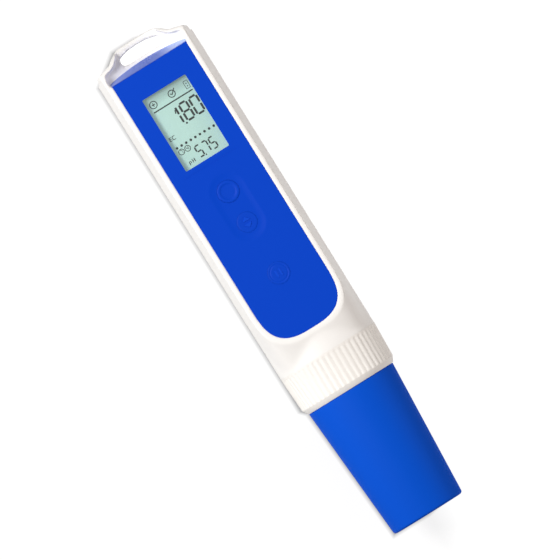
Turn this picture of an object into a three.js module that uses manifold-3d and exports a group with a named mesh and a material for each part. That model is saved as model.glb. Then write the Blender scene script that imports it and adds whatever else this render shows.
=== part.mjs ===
// Water test pen: a hand-held meter with a flat blue front panel, a display, three keys, a lanyard loop,
// a replaceable probe held by a ribbed lock ring, and a tapered storage cap.
// Millimetres. The pen lies on its back: X is its width, +Y runs towards the loop, +Z out of the front.
// The origin is under the middle of the pen, on the surface that it rests on.

import * as THREE from 'three';
import { mergeVertices } from 'three/addons/utils/BufferGeometryUtils.js';
import Module from 'manifold-3d';

const wasm = await Module();
wasm.setup();

// Fits
const GAP = 0.3; // between pieces that slide, turn or drop into each other
const SEAT = 0.1; // between flat faces that rest on each other
const OVERRUN = 1; // how far a cutting tool runs past the face it cuts
const JOIN = 0.2; // how far a rib or boss is buried in the wall that carries it

// Cells; the housing is built round two of them side by side
const CELL_RADIUS = 5.25;
const CELL_LENGTH = 44.5;
const CELL_NUB_RADIUS = 1.9;
const CELL_NUB_LENGTH = 0.8;
const CELL_EDGE = 0.4;
const TRAY_WALL = 1;
const CELL_OFFSET = CELL_RADIUS + GAP / 2;
const TRAY_HALF_WIDTH = CELL_OFFSET + CELL_RADIUS + GAP + TRAY_WALL;

// Housing section
const BAY_MARGIN = 6.55; // from the battery tray's side to the housing's side
const HALF_WIDTH = TRAY_HALF_WIDTH + BAY_MARGIN;
const FRONT_RISE = 0.4; // flat front above the round collar
const FRONT = HALF_WIDTH + FRONT_RISE; // pen axis to the flat front
const BACK_RISE = 0.1; // flat back below the round collar
const BACK = HALF_WIDTH + BACK_RISE; // pen axis to the flat of the back
const BACK_BULGE = 0.4; // what the flat takes off the rounded back
const BACK_POWER = 2.5; // squareness of the rounded back, 2 is round
const ROUND_POWER = 2;
const COLLAR_STEP = 0.05;
const COLLAR_RADIUS = HALF_WIDTH - COLLAR_STEP;
const COLLAR_LENGTH = 8; // round stretch at the lower end
const BLEND_LENGTH = 20; // from the round collar to the squarer back
const WALL = 2;
const END_WALL = 1.7;
const SIDE_DRAFT = 2.15; // how far each side wall leans in at the front
const LIP_WIDTH = 1.65; // white lip round the panel
const LIP_EDGE = 0.5; // rounding of the lip's outer edge
const END_RAMP = 2; // run of the ramp from the lip's lower end to the collar, per millimetre of height

// Stretches along the front, from the housing's lower end up to the loop
const PANEL_START = 9.6;
const HOLD_KEY_STRETCH = 21.4;
const MODE_KEY_STRETCH = 20.1;
const POWER_KEY_STRETCH = 12.1;
const WINDOW_STRETCH = 13;
const WINDOW_LENGTH = 28.1;
const PANEL_HEAD = 9.1;
const LOOP_STRETCH = 10.2;
const HOLD_KEY_Y = PANEL_START + HOLD_KEY_STRETCH;
const MODE_KEY_Y = HOLD_KEY_Y + MODE_KEY_STRETCH;
const POWER_KEY_Y = MODE_KEY_Y + POWER_KEY_STRETCH;
const WINDOW_LOW = POWER_KEY_Y + WINDOW_STRETCH;
const WINDOW_Y = WINDOW_LOW + WINDOW_LENGTH / 2;
const PANEL_TOP = WINDOW_LOW + WINDOW_LENGTH + PANEL_HEAD;
const HOUSING_LENGTH = PANEL_TOP + LOOP_STRETCH;

// Face panel
const PANEL_THICKNESS = 1.2;
const PANEL_END = 15; // length of the panel's rounded lower end
const PANEL_POWER = 3; // squareness of that end
const FLOOR_THICKNESS = 1.6; // shell floor under the panel
const PANEL_HALF = HALF_WIDTH - SIDE_DRAFT - LIP_WIDTH - GAP;
const PANEL_UNDER = FRONT - PANEL_THICKNESS;
const FLOOR_UNDER = PANEL_UNDER - FLOOR_THICKNESS;
const PANEL_FLARE = 0.7; // the panel widens where it turns down into the scoop
const FLARE_RISE = 1.6;

// Scooped end and loop
const SCOOP_DEPTH = 8;
const SCOOP_RADIUS = 27;
const SCOOP_LEAN = 0.325; // lean of the panel's turned-down end, per millimetre of depth
const TAB_THICKNESS = 6.7;
const TAB_UNDER = FRONT - SCOOP_DEPTH - TAB_THICKNESS;
const LOOP_BAR = 2.1;
const LOOP_EDGE = 0.5; // chamfer under the loop's tip
const SLOT_HEIGHT = 4.4;
const SLOT_WIDTH = 15.6;
const SLOT_CORNER = 1.4;
const SLOT_CROWN = 0.9; // arch of the slot's far edge
const SLOT_LOW = HOUSING_LENGTH - LOOP_BAR - SLOT_HEIGHT;
const SHOULDER_RISE = 6.5; // from the shoulder to the top of the loop
const TAIL_LENGTH = 16.9; // rounded roll-up of the back
const TAIL_MARGIN = 0.6;
const TAIL_END = SLOT_LOW - TAIL_MARGIN;
const TAIL_START = TAIL_END - TAIL_LENGTH;
const TAIL_SHARES = [0, 0.3, 0.55, 0.75, 0.89, 0.975]; // stations of the roll-up
const NOSE_LENGTH = 9.7; // rounding of the front edge over the loop
const NOSE_DROP = 9.9;
const CAVITY_HEAD = 3.1; // solid end between the cavity and the panel's turned-down end
const CAVITY_TOP = PANEL_TOP - CAVITY_HEAD;
const RIM_WIDTH = 1.15; // raised rim beside the scoop
// Half outline of the loop end, as shares of the half width and of the shoulder rise
const LOOP_SHARES = [[1, 0], [0.97, 0.12], [0.893, 0.262], [0.73, 0.4], [0.632, 0.477], [0.551, 0.662],
  [0.384, 0.938], [0.19, 0.985], [0, 1]];
// Half outline of the scoop, as shares of the half width inside the rim and of the shoulder rise
const SCOOP_SHARES = [[1, -0.2], [0.97, 0.08], [0.86, 0.2], [0.73, 0.29], [0.62, 0.52], [0.51, 0.83], [0.47, 1.2]];

// Display
const WINDOW_WIDTH = 17;
const WINDOW_CORNER = 0.4;
const LENS_RECESS = 0.6; // lens below the panel's face
const LENS_FLANGE = 0.7;
const LENS_CLEARANCE = 0.15;
const DISPLAY_SIDE = 1.1; // glass hidden beside the window
const DISPLAY_END = 2; // glass hidden past the window's ends
const DISPLAY_THICKNESS = 1.9;
const BACKLIGHT_THICKNESS = 2.4;
const FRAME_WALL = 1;
const STRIP_WIDTH = 1.8; // rubber contact strip under the glass
const LENS_FLANGE_TOP = PANEL_UNDER - SEAT;
const DISPLAY_WIDTH = WINDOW_WIDTH + 2 * DISPLAY_SIDE;
const DISPLAY_LENGTH = WINDOW_LENGTH + 2 * DISPLAY_END;
const DISPLAY_TOP = LENS_FLANGE_TOP - LENS_FLANGE - SEAT;
const BACKLIGHT_TOP = DISPLAY_TOP - DISPLAY_THICKNESS - SEAT;
const FRAME_HALF_WIDTH = DISPLAY_WIDTH / 2 + GAP + FRAME_WALL;
const FRAME_HALF_LENGTH = DISPLAY_LENGTH / 2 + GAP + FRAME_WALL;

// Board
const BOARD_DROP = 6.4; // shell floor down to the board
const BOARD_THICKNESS = 1.6;
const BOARD_TOP = FLOOR_UNDER - BOARD_DROP;
const BOARD_UNDER = BOARD_TOP - BOARD_THICKNESS;
const BOARD_MARGIN = 5.9; // from the board's side to the housing's side
const BOARD_HALF_WIDTH = HALF_WIDTH - BOARD_MARGIN;
const BOARD_HEAD = 1; // board past the display's frame
const BOARD_TAIL = 2; // between the collar's sleeve and the board
const REST_OVERLAP = 1.2; // how far the shell's rest ribs reach over the board
const REST_WIDTH = 2;
const REST_INSET = 6; // end ribs, from the board's ends
const BOARD_CORNER = 2;
const CHIP_SIZE = 9;
const CHIP_HEIGHT = 1.2;

// Keys and their switches
const KEY_TRAVEL = 0.5;
const POWER_KEY_RADIUS = 3.85;
const POWER_KEY_HOLLOW = 2.5; // radius inside the raised ring
const MODE_KEY_RADIUS = 3.5;
const HOLD_KEY_RADIUS = 3.85;
const RING_RISE = 0.3; // raised ring above the key's face
const KEY_FLANGE = 0.9; // width of the flange that keeps the key in
const KEY_FLANGE_THICKNESS = 0.8;
const KEY_FOOT = 1; // foot under the flange
const DISH_DEPTH = 0.35;
const DISH_HALF_WIDTH = 6.5;
const DISH_MARGIN_LOW = 6.5;
const DISH_MARGIN_HIGH = 6.4;
const DISH_SLOPE = 1.2;
const SWITCH_SIZE = 6;
const SWITCH_HEIGHT = 3.4;
const PLUNGER_RADIUS = 1.6;
const PLUNGER_DEPTH = 0.7; // length of plunger inside the switch
const KEY_FLANGE_TOP = FLOOR_UNDER - SEAT;
const KEY_FOOT_END = KEY_FLANGE_TOP - KEY_FLANGE_THICKNESS - KEY_FOOT;
const SWITCH_TOP = BOARD_TOP + SEAT + SWITCH_HEIGHT;

// Lower end: collar tube, lock ring, probe flange
const SPIGOT_STEP = 2.85; // spigot inside the collar
const SPIGOT_WALL = 2.9;
const SPIGOT_RADIUS = COLLAR_RADIUS - SPIGOT_STEP;
const BORE_RADIUS = SPIGOT_RADIUS - SPIGOT_WALL; // bore that the probe's stem slides in
const COLLAR_FLANGE = 3.1;
const SLEEVE_WALL = 1.9;
const SLEEVE_LENGTH = 12.5;
const RIB_THICKNESS = 1.5; // shell rib that traps the collar's flange
const RING_LENGTH = 14.5;
const RING_SHOULDER = 2.5;
const RING_CHAMFER = 2;
const RING_FOOT_STEP = 1.45; // ring radius lost at its lower edge
const RING_TAPER = 0.5;
const RIB_COUNT = 54;
const RIB_DEPTH = 0.5;
const RING_RADIUS = COLLAR_RADIUS - COLLAR_STEP;
const PROBE_FLANGE = 2.5;
const COLLAR_FLANGE_LOW = END_WALL + GAP;
const COLLAR_FLANGE_HIGH = COLLAR_FLANGE_LOW + COLLAR_FLANGE;
const SLEEVE_TOP = COLLAR_FLANGE_HIGH + SLEEVE_LENGTH;
const SPIGOT_LENGTH = GAP + RING_LENGTH - RING_SHOULDER - SEAT - PROBE_FLANGE - GAP;
const BOARD_LOW = SLEEVE_TOP + BOARD_TAIL;
const BOARD_HIGH = WINDOW_Y + FRAME_HALF_LENGTH + BOARD_HEAD;

// Probe
const NECK_STEP = 1.7; // neck inside the spigot
const NECK_RADIUS = SPIGOT_RADIUS - NECK_STEP;
const NECK_LENGTH = 11.7;
const STEM_SHORTFALL = 2; // stem ends this far inside the sleeve
const STEM_RADIUS = BORE_RADIUS - GAP;
const SEAL_RADIUS = 0.9; // O-ring section
const SEAL_SPACING = 6;
const SEAL_START = 5.1;
const SEAL_PROUD = 0.15; // O-ring stands out of its groove
const SENSOR_BOSS_STEP = 4.9; // sensor boss inside the neck
const SENSOR_BOSS_RADIUS = NECK_RADIUS - SENSOR_BOSS_STEP;
const SENSOR_SCALE = SENSOR_BOSS_RADIUS / 9; // the sensors across the boss are sized for a 9 mm one
const SENSOR_BOSS_LENGTH = 4.5;
const GUARD_WALL = 1.1;
const GUARD_RADIUS = SENSOR_BOSS_RADIUS + GAP + GUARD_WALL;
const GUARD_SLOT_WIDTH = 5.5;
const GUARD_RIM = 5.7; // solid rim below the guard's slots
const GUARD_SLOT_LENGTH = 16;
const SENSOR_SETBACK = 3.5; // bulb behind the guard's rim
const SOCKET_DEPTH = 3; // holes that the sensors are potted in
const BULB_RADIUS = 3.9 * SENSOR_SCALE;
const BULB_STEM_RADIUS = 3.2 * SENSOR_SCALE;
const BULB_OFFSET = 4.4 * SENSOR_SCALE;
const PIN_RADIUS = SENSOR_SCALE;
const PIN_OFFSET = 4.6 * SENSOR_SCALE;
const PIN_SPREAD = 2.3 * SENSOR_SCALE;
const PIN_SETBACK = 4; // pins behind the bulb's tip
const SIDE_SENSOR_OFFSET = 6.3 * SENSOR_SCALE;
const JUNCTION_RADIUS = 1.5 * SENSOR_SCALE;
const THERMOMETER_RADIUS = 1.3 * SENSOR_SCALE;

// Cap
const CAP_LENGTH = 49.3;
const CAP_TAPER = 3.05; // radius lost from the mouth to the end
const CAP_MOUTH_STEP = 0.4; // cap mouth inside the ring's lower edge
const CAP_EDGE = 1.1;
const CAP_WALL = 1.9;
const CAP_FLOOR = 2.2;
const CAP_WELL = 6.3; // free depth under the probe
const CAP_SEAT_MARGIN = 0.3;
const CAP_MOUTH_RADIUS = RING_RADIUS - RING_FOOT_STEP - CAP_MOUTH_STEP;
const CAP_END_RADIUS = CAP_MOUTH_RADIUS - CAP_TAPER;

// Plug between the probe and the board
const PLUG_WIDTH = 13;
const PLUG_HEIGHT = 5;
const PLUG_THICKNESS = 1.9;
const CONTACT_COUNT = 5;
const CONTACT_PITCH = 2.5;
const CONTACT_SIZE = 0.8;
const CONTACT_LENGTH = 6;
const SOCKET_LENGTH = 8;
const SOCKET_WALL = 1.5;

// Battery bay
const CELL_FLOOR = 3.95; // from the flat of the back to the cells
const CELL_SINK = BACK - CELL_FLOOR - CELL_RADIUS; // pen axis to the cells' axes
const CONTACT_DEPTH = 1.8; // room for a contact at each end of the cells
const LEAF_THICKNESS = 0.4;
const LEAF_HALF_HEIGHT = 3.4;
const LEAF_BOW = 2.3; // half height of the bowed part
const LEAF_WIDTH = 7;
const GASKET_THICKNESS = 0.8;
const GASKET_WIDTH = 1.15;
const LEDGE_WIDTH = 1.4; // ledge that carries the door's gasket
const LEDGE_FRAME = 1.5;
const LEDGE_THICKNESS = 1.4;
const DOOR_MARGIN = 0.45; // door past the battery tray's side
const DOOR_HALF_WIDTH = TRAY_HALF_WIDTH + DOOR_MARGIN;
const DOOR_CORNER = 4;
const DOOR_SCREW_INSET = 3.7;
const DOOR_BOSS_RADIUS = 2;
const DOOR_PAD_RADIUS = 2.3;
const DOOR_HEAD_SINK = 0.3; // screw heads below the flat of the back
const DOOR_SCREW_LENGTH = 6.6;
const DOOR_BOSS_LENGTH = 9.1; // from the flat of the back to the inner end of the door's screw bosses
const DOOR_BOSS_TOP = BACK - DOOR_BOSS_LENGTH;
const LEDGE_OUTER = WALL + SEAT + GASKET_THICKNESS + SEAT;
const LEDGE_INNER = LEDGE_OUTER + LEDGE_THICKNESS;

// Screws
const SCREW_RADIUS = 0.95;
const SCREW_HEAD_RADIUS = 1.8;
const SCREW_HEAD_HEIGHT = 1.1;
const SCREW_DRIVE = 0.9; // width across the drive recess
const SCREW_DRIVE_DEPTH = 0.6;
const SHELL_SCREW_LENGTH = 11;
const SHELL_SCREW_SEAT = 5; // pen axis to the underside of the heads
const BOSS_RADIUS = 2;
const POST_RADIUS = 3.2;
const POST_CLEARANCE = 0.75;
const LOWER_POST_GAP = 5.9;
const BOSS_X = FRAME_HALF_WIDTH + GAP + BOSS_RADIUS;
const LOWER_POST_Y = SLEEVE_TOP + LOWER_POST_GAP;
const DOOR_LOW = LOWER_POST_Y + POST_RADIUS + POST_CLEARANCE;
const DOOR_END = DOOR_SCREW_INSET + DOOR_BOSS_RADIUS + GAP + TRAY_WALL + CONTACT_DEPTH;
const CELL_LOW = DOOR_LOW + DOOR_END;
const DOOR_HIGH = CELL_LOW + CELL_LENGTH + DOOR_END;
const DOOR_Y = (DOOR_LOW + DOOR_HIGH) / 2;
const UPPER_POST_Y = DOOR_HIGH + POST_RADIUS + POST_CLEARANCE + LEDGE_FRAME;

// Places along the pen, from the cap's closed end
const RING_Y = CAP_LENGTH + GAP;
const PROBE_Y = RING_Y + RING_SHOULDER + SEAT;
const HOUSING_Y = RING_Y + RING_LENGTH + GAP;
const PEN_LENGTH = HOUSING_Y + HOUSING_LENGTH;

// Facet counts
const SECTION_STEPS = 32;
const BLEND_STEPS = 5;
const ROUND_STEPS = 36;
const INNER_STEPS = 24; // turned pieces that the housing or the cap hides
const CAP_STEPS = 40;
const KEY_STEPS = 24;
const SMALL_STEPS = 12;
const CURVE_STEPS = 8;
const PANEL_END_STEPS = 18;
const CORNER_STEPS = 3;
const EDGE_STEPS = 3;
const CELL_STEPS = 18;
const SEAL_SIDES = 6;

// Materials
const whitePlastic = new THREE.MeshStandardMaterial({ color: 0xf2f0ec, roughness: 0.45, metalness: 0 });
const bluePlastic = new THREE.MeshStandardMaterial({ color: 0x1248cd, roughness: 0.4, metalness: 0 });
const keyRubber = new THREE.MeshStandardMaterial({ color: 0x1246c4, roughness: 0.6, metalness: 0 });
const clearPlastic = new THREE.MeshStandardMaterial({ color: 0xf4f8f8, roughness: 0.08, metalness: 0,
  transparent: true, opacity: 0.3 });
const displayGlass = new THREE.MeshStandardMaterial({ color: 0xb8ded4, roughness: 0.2, metalness: 0 });
const blackPlastic = new THREE.MeshStandardMaterial({ color: 0x1b1c1e, roughness: 0.5, metalness: 0 });
const blackRubber = new THREE.MeshStandardMaterial({ color: 0x141414, roughness: 0.8, metalness: 0 });
const boardLaminate = new THREE.MeshStandardMaterial({ color: 0x1f6b3a, roughness: 0.55, metalness: 0 });
const sensorGlass = new THREE.MeshStandardMaterial({ color: 0xdfeeee, roughness: 0.05, metalness: 0,
  transparent: true, opacity: 0.5 });
const ceramic = new THREE.MeshStandardMaterial({ color: 0xe9e4d8, roughness: 0.8, metalness: 0 });
const steel = new THREE.MeshStandardMaterial({ color: 0xb9bcc0, roughness: 0.3, metalness: 1 });
const cellWrap = new THREE.MeshStandardMaterial({ color: 0x2e3238, roughness: 0.35, metalness: 0.3 });

// Closed geometry with its faces pointing out
function facingOut(geometry) {
  const position = geometry.attributes.position;
  const index = geometry.index;
  const a = new THREE.Vector3();
  const b = new THREE.Vector3();
  const c = new THREE.Vector3();
  let volume = 0;
  for (let i = 0; i < index.count; i += 3) {
    a.fromBufferAttribute(position, index.getX(i));
    b.fromBufferAttribute(position, index.getX(i + 1));
    c.fromBufferAttribute(position, index.getX(i + 2));
    volume += a.dot(b.cross(c));
  }
  if (volume < 0) {
    for (let i = 0; i < index.count; i += 3) {
      const second = index.getX(i + 1);
      index.setX(i + 1, index.getX(i + 2));
      index.setX(i + 2, second);
    }
  }
  return geometry;
}

// Triangles that merging has folded to a line, such as those at a turned piece's axis, are left out
function withoutSlivers(geometry) {
  const from = geometry.index.array;
  const index = [];
  for (let i = 0; i < from.length; i += 3) {
    const [a, b, c] = [from[i], from[i + 1], from[i + 2]];
    if (a !== b && b !== c && c !== a) {
      index.push(a, b, c);
    }
  }
  geometry.setIndex(index);
  return geometry;
}

// Solid for joining and cutting, from a closed geometry
function solidOf(geometry) {
  geometry.deleteAttribute('normal');
  geometry.deleteAttribute('uv');
  const merged = facingOut(withoutSlivers(mergeVertices(geometry)));
  return new wasm.Manifold(new wasm.Mesh({
    numProp: 3,
    vertProperties: new Float32Array(merged.attributes.position.array),
    triVerts: new Uint32Array(merged.index.array),
  }));
}

// Named mesh from a finished solid
function piece(name, solid, material) {
  const cut = solid.getMesh();
  const geometry = new THREE.BufferGeometry();
  geometry.setAttribute('position', new THREE.BufferAttribute(new Float32Array(cut.vertProperties), 3));
  geometry.setIndex(new THREE.BufferAttribute(new Uint32Array(cut.triVerts), 1));
  geometry.computeVertexNormals();
  const mesh = new THREE.Mesh(geometry, material);
  mesh.name = name;
  return mesh;
}

function joined(first, ...others) {
  return others.reduce((sum, other) => sum.add(other), first);
}

function cutBy(first, ...others) {
  return others.reduce((rest, other) => rest.subtract(other), first);
}

function kept(first, ...others) {
  return others.reduce((rest, other) => rest.intersect(other), first);
}

// Skin over a stack of outlines with equally many points, closed at both ends
function loft(rings) {
  const count = rings[0].length;
  const positions = rings.flatMap((ring) => ring.flatMap((p) => [p.x, p.y, p.z]));
  const index = [];
  for (let r = 0; r < rings.length - 1; r += 1) {
    for (let i = 0; i < count; i += 1) {
      const a = r * count + i;
      const b = r * count + (i + 1) % count;
      index.push(a, b, b + count, a, b + count, a + count);
    }
  }
  const middle = (ring) => ring.reduce((sum, p) => sum.add(p), new THREE.Vector3()).divideScalar(count);
  const firstMiddle = positions.length / 3;
  positions.push(...middle(rings[0]).toArray(), ...middle(rings[rings.length - 1]).toArray());
  const lastStart = (rings.length - 1) * count;
  for (let i = 0; i < count; i += 1) {
    const next = (i + 1) % count;
    index.push(firstMiddle, next, i);
    index.push(firstMiddle + 1, lastStart + i, lastStart + next);
  }
  const geometry = new THREE.BufferGeometry();
  geometry.setAttribute('position', new THREE.Float32BufferAttribute(positions, 3));
  geometry.setIndex(index);
  return solidOf(geometry);
}

// Prisms: an outline in two axes, run along the third
function prismZ(outline, low, high) {
  const geometry = new THREE.ExtrudeGeometry(new THREE.Shape(outline), { depth: high - low, bevelEnabled: false });
  return solidOf(geometry.translate(0, 0, low));
}

function prismX(outline, low, high) {
  const geometry = new THREE.ExtrudeGeometry(new THREE.Shape(outline), { depth: high - low, bevelEnabled: false });
  const turn = new THREE.Matrix4().makeBasis(new THREE.Vector3(0, 1, 0), new THREE.Vector3(0, 0, 1),
    new THREE.Vector3(1, 0, 0));
  return solidOf(geometry.applyMatrix4(turn).translate(low, 0, 0));
}

// Rods along each axis
function rodZ(radius, low, high, x = 0, y = 0, steps = SMALL_STEPS) {
  const geometry = new THREE.CylinderGeometry(radius, radius, high - low, steps).rotateX(Math.PI / 2);
  return solidOf(geometry.translate(x, y, (low + high) / 2));
}

function rodY(radius, low, high, x = 0, z = 0, steps = SMALL_STEPS) {
  const geometry = new THREE.CylinderGeometry(radius, radius, high - low, steps);
  return solidOf(geometry.translate(x, (low + high) / 2, z));
}

function block(xLow, xHigh, yLow, yHigh, zLow, zHigh) {
  const geometry = new THREE.BoxGeometry(xHigh - xLow, yHigh - yLow, zHigh - zLow);
  return solidOf(geometry.translate((xLow + xHigh) / 2, (yLow + yHigh) / 2, (zLow + zHigh) / 2));
}

// Piece turned about the pen's axis, or about Z where the piece stands on its end
function turned(profile, steps = ROUND_STEPS) {
  return solidOf(new THREE.LatheGeometry(profile.map(([r, y]) => new THREE.Vector2(r, y)), steps));
}

function turnedUpright(profile, steps = SMALL_STEPS) {
  const points = profile.map(([r, z]) => new THREE.Vector2(r, z));
  return solidOf(new THREE.LatheGeometry(points, steps).rotateX(Math.PI / 2));
}

function arc(x, y, radiusX, radiusY, from, to, steps = CURVE_STEPS) {
  const curve = new THREE.EllipseCurve(x, y, radiusX, radiusY, from, to, to < from);
  return curve.getPoints(steps);
}

function roundedRectangle(halfWidth, low, high, corner) {
  const shape = new THREE.Shape();
  shape.moveTo(corner - halfWidth, low);
  shape.lineTo(halfWidth - corner, low);
  shape.absarc(halfWidth - corner, low + corner, corner, -Math.PI / 2, 0);
  shape.lineTo(halfWidth, high - corner);
  shape.absarc(halfWidth - corner, high - corner, corner, 0, Math.PI / 2);
  shape.lineTo(corner - halfWidth, high);
  shape.absarc(corner - halfWidth, high - corner, corner, Math.PI / 2, Math.PI);
  shape.lineTo(-halfWidth, low + corner);
  shape.absarc(corner - halfWidth, low + corner, corner, Math.PI, 1.5 * Math.PI);
  return shape.getPoints(CORNER_STEPS).slice(0, -1);
}

// Strip of sheet metal: a thin band along a bent line
function ribbon(line, thickness) {
  const side = (sign) => line.map((point, i) => {
    const before = line[Math.max(i - 1, 0)];
    const after = line[Math.min(i + 1, line.length - 1)];
    const along = after.clone().sub(before).normalize();
    return new THREE.Vector2(point.x - sign * along.y * thickness / 2, point.y + sign * along.x * thickness / 2);
  });
  return [...side(1), ...side(-1).reverse()];
}

function signedPower(value, power) {
  return Math.sign(value) * Math.abs(value) ** power;
}

// Barrel: round at the collar, rounded square at the back further up, rolled up like a hull at the tail
function barrelRing(y, blend, inset, depthShare = 1) {
  const mix = THREE.MathUtils.lerp;
  const halfWidth = mix(COLLAR_RADIUS, HALF_WIDTH, blend) - inset;
  const crown = COLLAR_RADIUS - inset;
  const bulge = (mix(COLLAR_RADIUS, BACK + BACK_BULGE, blend) - inset) * depthShare;
  const power = 2 / mix(ROUND_POWER, BACK_POWER, blend);
  return Array.from({ length: SECTION_STEPS }, (_, i) => {
    const angle = 2 * Math.PI * i / SECTION_STEPS;
    const across = Math.cos(angle);
    const up = Math.sin(angle);
    if (i * 2 <= SECTION_STEPS) {
      return new THREE.Vector3(halfWidth * across, y, crown * up);
    }
    return new THREE.Vector3(halfWidth * signedPower(across, power), y, bulge * signedPower(up, power));
  });
}

function barrel(inset, low) {
  const rings = [barrelRing(low, 0, inset)];
  for (let i = 0; i <= BLEND_STEPS; i += 1) {
    const share = i / BLEND_STEPS;
    rings.push(barrelRing(COLLAR_LENGTH + BLEND_LENGTH * share, THREE.MathUtils.smoothstep(share, 0, 1), inset));
  }
  const tailDepth = (share) => Math.sqrt(1 - share * share);
  TAIL_SHARES.forEach((share) => {
    rings.push(barrelRing(TAIL_START + TAIL_LENGTH * share, 1, inset, tailDepth(share)));
  });
  const lastShare = TAIL_SHARES[TAIL_SHARES.length - 1];
  rings.push(barrelRing(HOUSING_LENGTH + OVERRUN, 1, inset, tailDepth(lastShare)));
  return loft(rings);
}

// Outline of the panel, or of the lip and the side walls round it
function panelOutline(halfWidth, top, longer = 0) {
  const end = PANEL_END + halfWidth - PANEL_HALF + longer;
  const centre = PANEL_START + PANEL_END;
  const points = [];
  for (let i = 0; i <= PANEL_END_STEPS; i += 1) {
    const angle = Math.PI * (1 + i / PANEL_END_STEPS);
    points.push(new THREE.Vector2(halfWidth * signedPower(Math.cos(angle), 2 / PANEL_POWER),
      centre + end * signedPower(Math.sin(angle), 2 / PANEL_POWER)));
  }
  points.push(new THREE.Vector2(halfWidth, top), new THREE.Vector2(-halfWidth, top));
  return points;
}

// Raised front: side walls that lean in, with a rounded outer edge, and a ramp down to the collar
function platform(inset, top, edge, ramp = 0) {
  const halfWidthAt = (z) => HALF_WIDTH - SIDE_DRAFT * z / FRONT - inset;
  const levels = [[0, halfWidthAt(0)], [top - edge, halfWidthAt(top - edge)]];
  for (let i = 1; edge > 0 && i <= EDGE_STEPS; i += 1) {
    const angle = Math.PI / 2 * i / EDGE_STEPS;
    levels.push([top - edge + edge * Math.sin(angle), halfWidthAt(top - edge) - edge * (1 - Math.cos(angle))]);
  }
  return loft(levels.map(([z, halfWidth]) => panelOutline(halfWidth, HOUSING_LENGTH + OVERRUN, ramp * (top - z))
    .map((p) => new THREE.Vector3(p.x, p.y, z))));
}

// Both halves of an outline that is given on its right side
function mirrored(rightSide) {
  const left = rightSide.filter((p) => p.x > 0).map((p) => new THREE.Vector2(-p.x, p.y)).reverse();
  return [...rightSide, ...left];
}

// Loop end seen from the front
function planPrism() {
  const shoulder = HOUSING_LENGTH - SHOULDER_RISE;
  const spline = new THREE.SplineCurve(LOOP_SHARES.map(([across, up]) => (
    new THREE.Vector2(across * HALF_WIDTH, shoulder + up * SHOULDER_RISE))));
  const side = [new THREE.Vector2(HALF_WIDTH, -OVERRUN), ...spline.getPoints(2 * CURVE_STEPS)];
  side[side.length - 1].x = 0;
  return prismZ(mirrored(side), -BACK - OVERRUN, FRONT + OVERRUN);
}

// Housing seen from the side: flat back, tab standing out at the tail, front edge rounded over the loop
function sidePrism() {
  const noseStart = HOUSING_LENGTH - NOSE_LENGTH;
  const outline = [
    new THREE.Vector2(0, -BACK),
    new THREE.Vector2(TAIL_END, -BACK),
    new THREE.Vector2(TAIL_END, TAB_UNDER),
    new THREE.Vector2(HOUSING_LENGTH - LOOP_EDGE, TAB_UNDER),
    new THREE.Vector2(HOUSING_LENGTH, TAB_UNDER + LOOP_EDGE),
    ...arc(noseStart, FRONT - NOSE_DROP, NOSE_LENGTH, NOSE_DROP, 0, Math.PI / 2),
    new THREE.Vector2(0, FRONT),
  ];
  return prismX(outline, -HALF_WIDTH - OVERRUN, HALF_WIDTH + OVERRUN);
}

// Scoop between the panel's end and the loop
function scoopDrum(lift) {
  const centre = FRONT - SCOOP_DEPTH + SCOOP_RADIUS;
  return rodY(SCOOP_RADIUS - lift, -OVERRUN, HOUSING_LENGTH + OVERRUN, 0, centre, 2 * ROUND_STEPS);
}

function leanY(z, shift) {
  return PANEL_TOP + (FRONT - z) * SCOOP_LEAN + shift;
}

function scoop() {
  const low = FRONT - SCOOP_DEPTH - OVERRUN;
  const high = FRONT + OVERRUN;
  const far = HOUSING_LENGTH + OVERRUN;
  const behindLean = prismX([
    new THREE.Vector2(leanY(low, 0), low),
    new THREE.Vector2(far, low),
    new THREE.Vector2(far, high),
    new THREE.Vector2(leanY(high, 0), high),
  ], -HALF_WIDTH, HALF_WIDTH);
  const shoulder = HOUSING_LENGTH - SHOULDER_RISE;
  const half = HALF_WIDTH - SIDE_DRAFT - RIM_WIDTH;
  const spline = new THREE.SplineCurve(SCOOP_SHARES.map(([across, up]) => (
    new THREE.Vector2(across * half, shoulder + up * SHOULDER_RISE))));
  const side = [new THREE.Vector2(half, PANEL_TOP - OVERRUN), ...spline.getPoints(2 * CURVE_STEPS)];
  return kept(scoopDrum(0), behindLean, prismZ(mirrored(side), low, high));
}

function lanyardSlot() {
  const corner = SLOT_CORNER;
  const half = SLOT_WIDTH / 2;
  const sideHigh = SLOT_LOW + SLOT_HEIGHT - SLOT_CROWN;
  const right = [
    ...arc(half - corner, SLOT_LOW + corner, corner, corner, -Math.PI / 2, 0, CORNER_STEPS),
    ...arc(half - corner, sideHigh - corner, corner, corner, 0, Math.PI / 3, CORNER_STEPS),
    new THREE.Vector2(half / 2, SLOT_LOW + SLOT_HEIGHT - SLOT_CROWN / 4),
    new THREE.Vector2(0, SLOT_LOW + SLOT_HEIGHT),
  ];
  return prismZ(mirrored(right), -BACK - OVERRUN, FRONT + OVERRUN);
}

function cavity() {
  const outline = [
    new THREE.Vector2(END_WALL, WALL - BACK),
    ...arc(TAIL_START, 0, CAVITY_TOP - TAIL_START, BACK - WALL, -Math.PI / 2, 0),
    new THREE.Vector2(CAVITY_TOP, FLOOR_UNDER),
    new THREE.Vector2(END_WALL, FLOOR_UNDER),
  ];
  const room = joined(barrel(WALL, END_WALL), platform(WALL, FLOOR_UNDER, 0));
  const collarRoom = rodY(COLLAR_RADIUS - WALL, END_WALL, COLLAR_FLANGE_HIGH + GAP, 0, 0, ROUND_STEPS);
  return joined(kept(room, prismX(outline, -HALF_WIDTH, HALF_WIDTH)), collarRoom);
}

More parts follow.
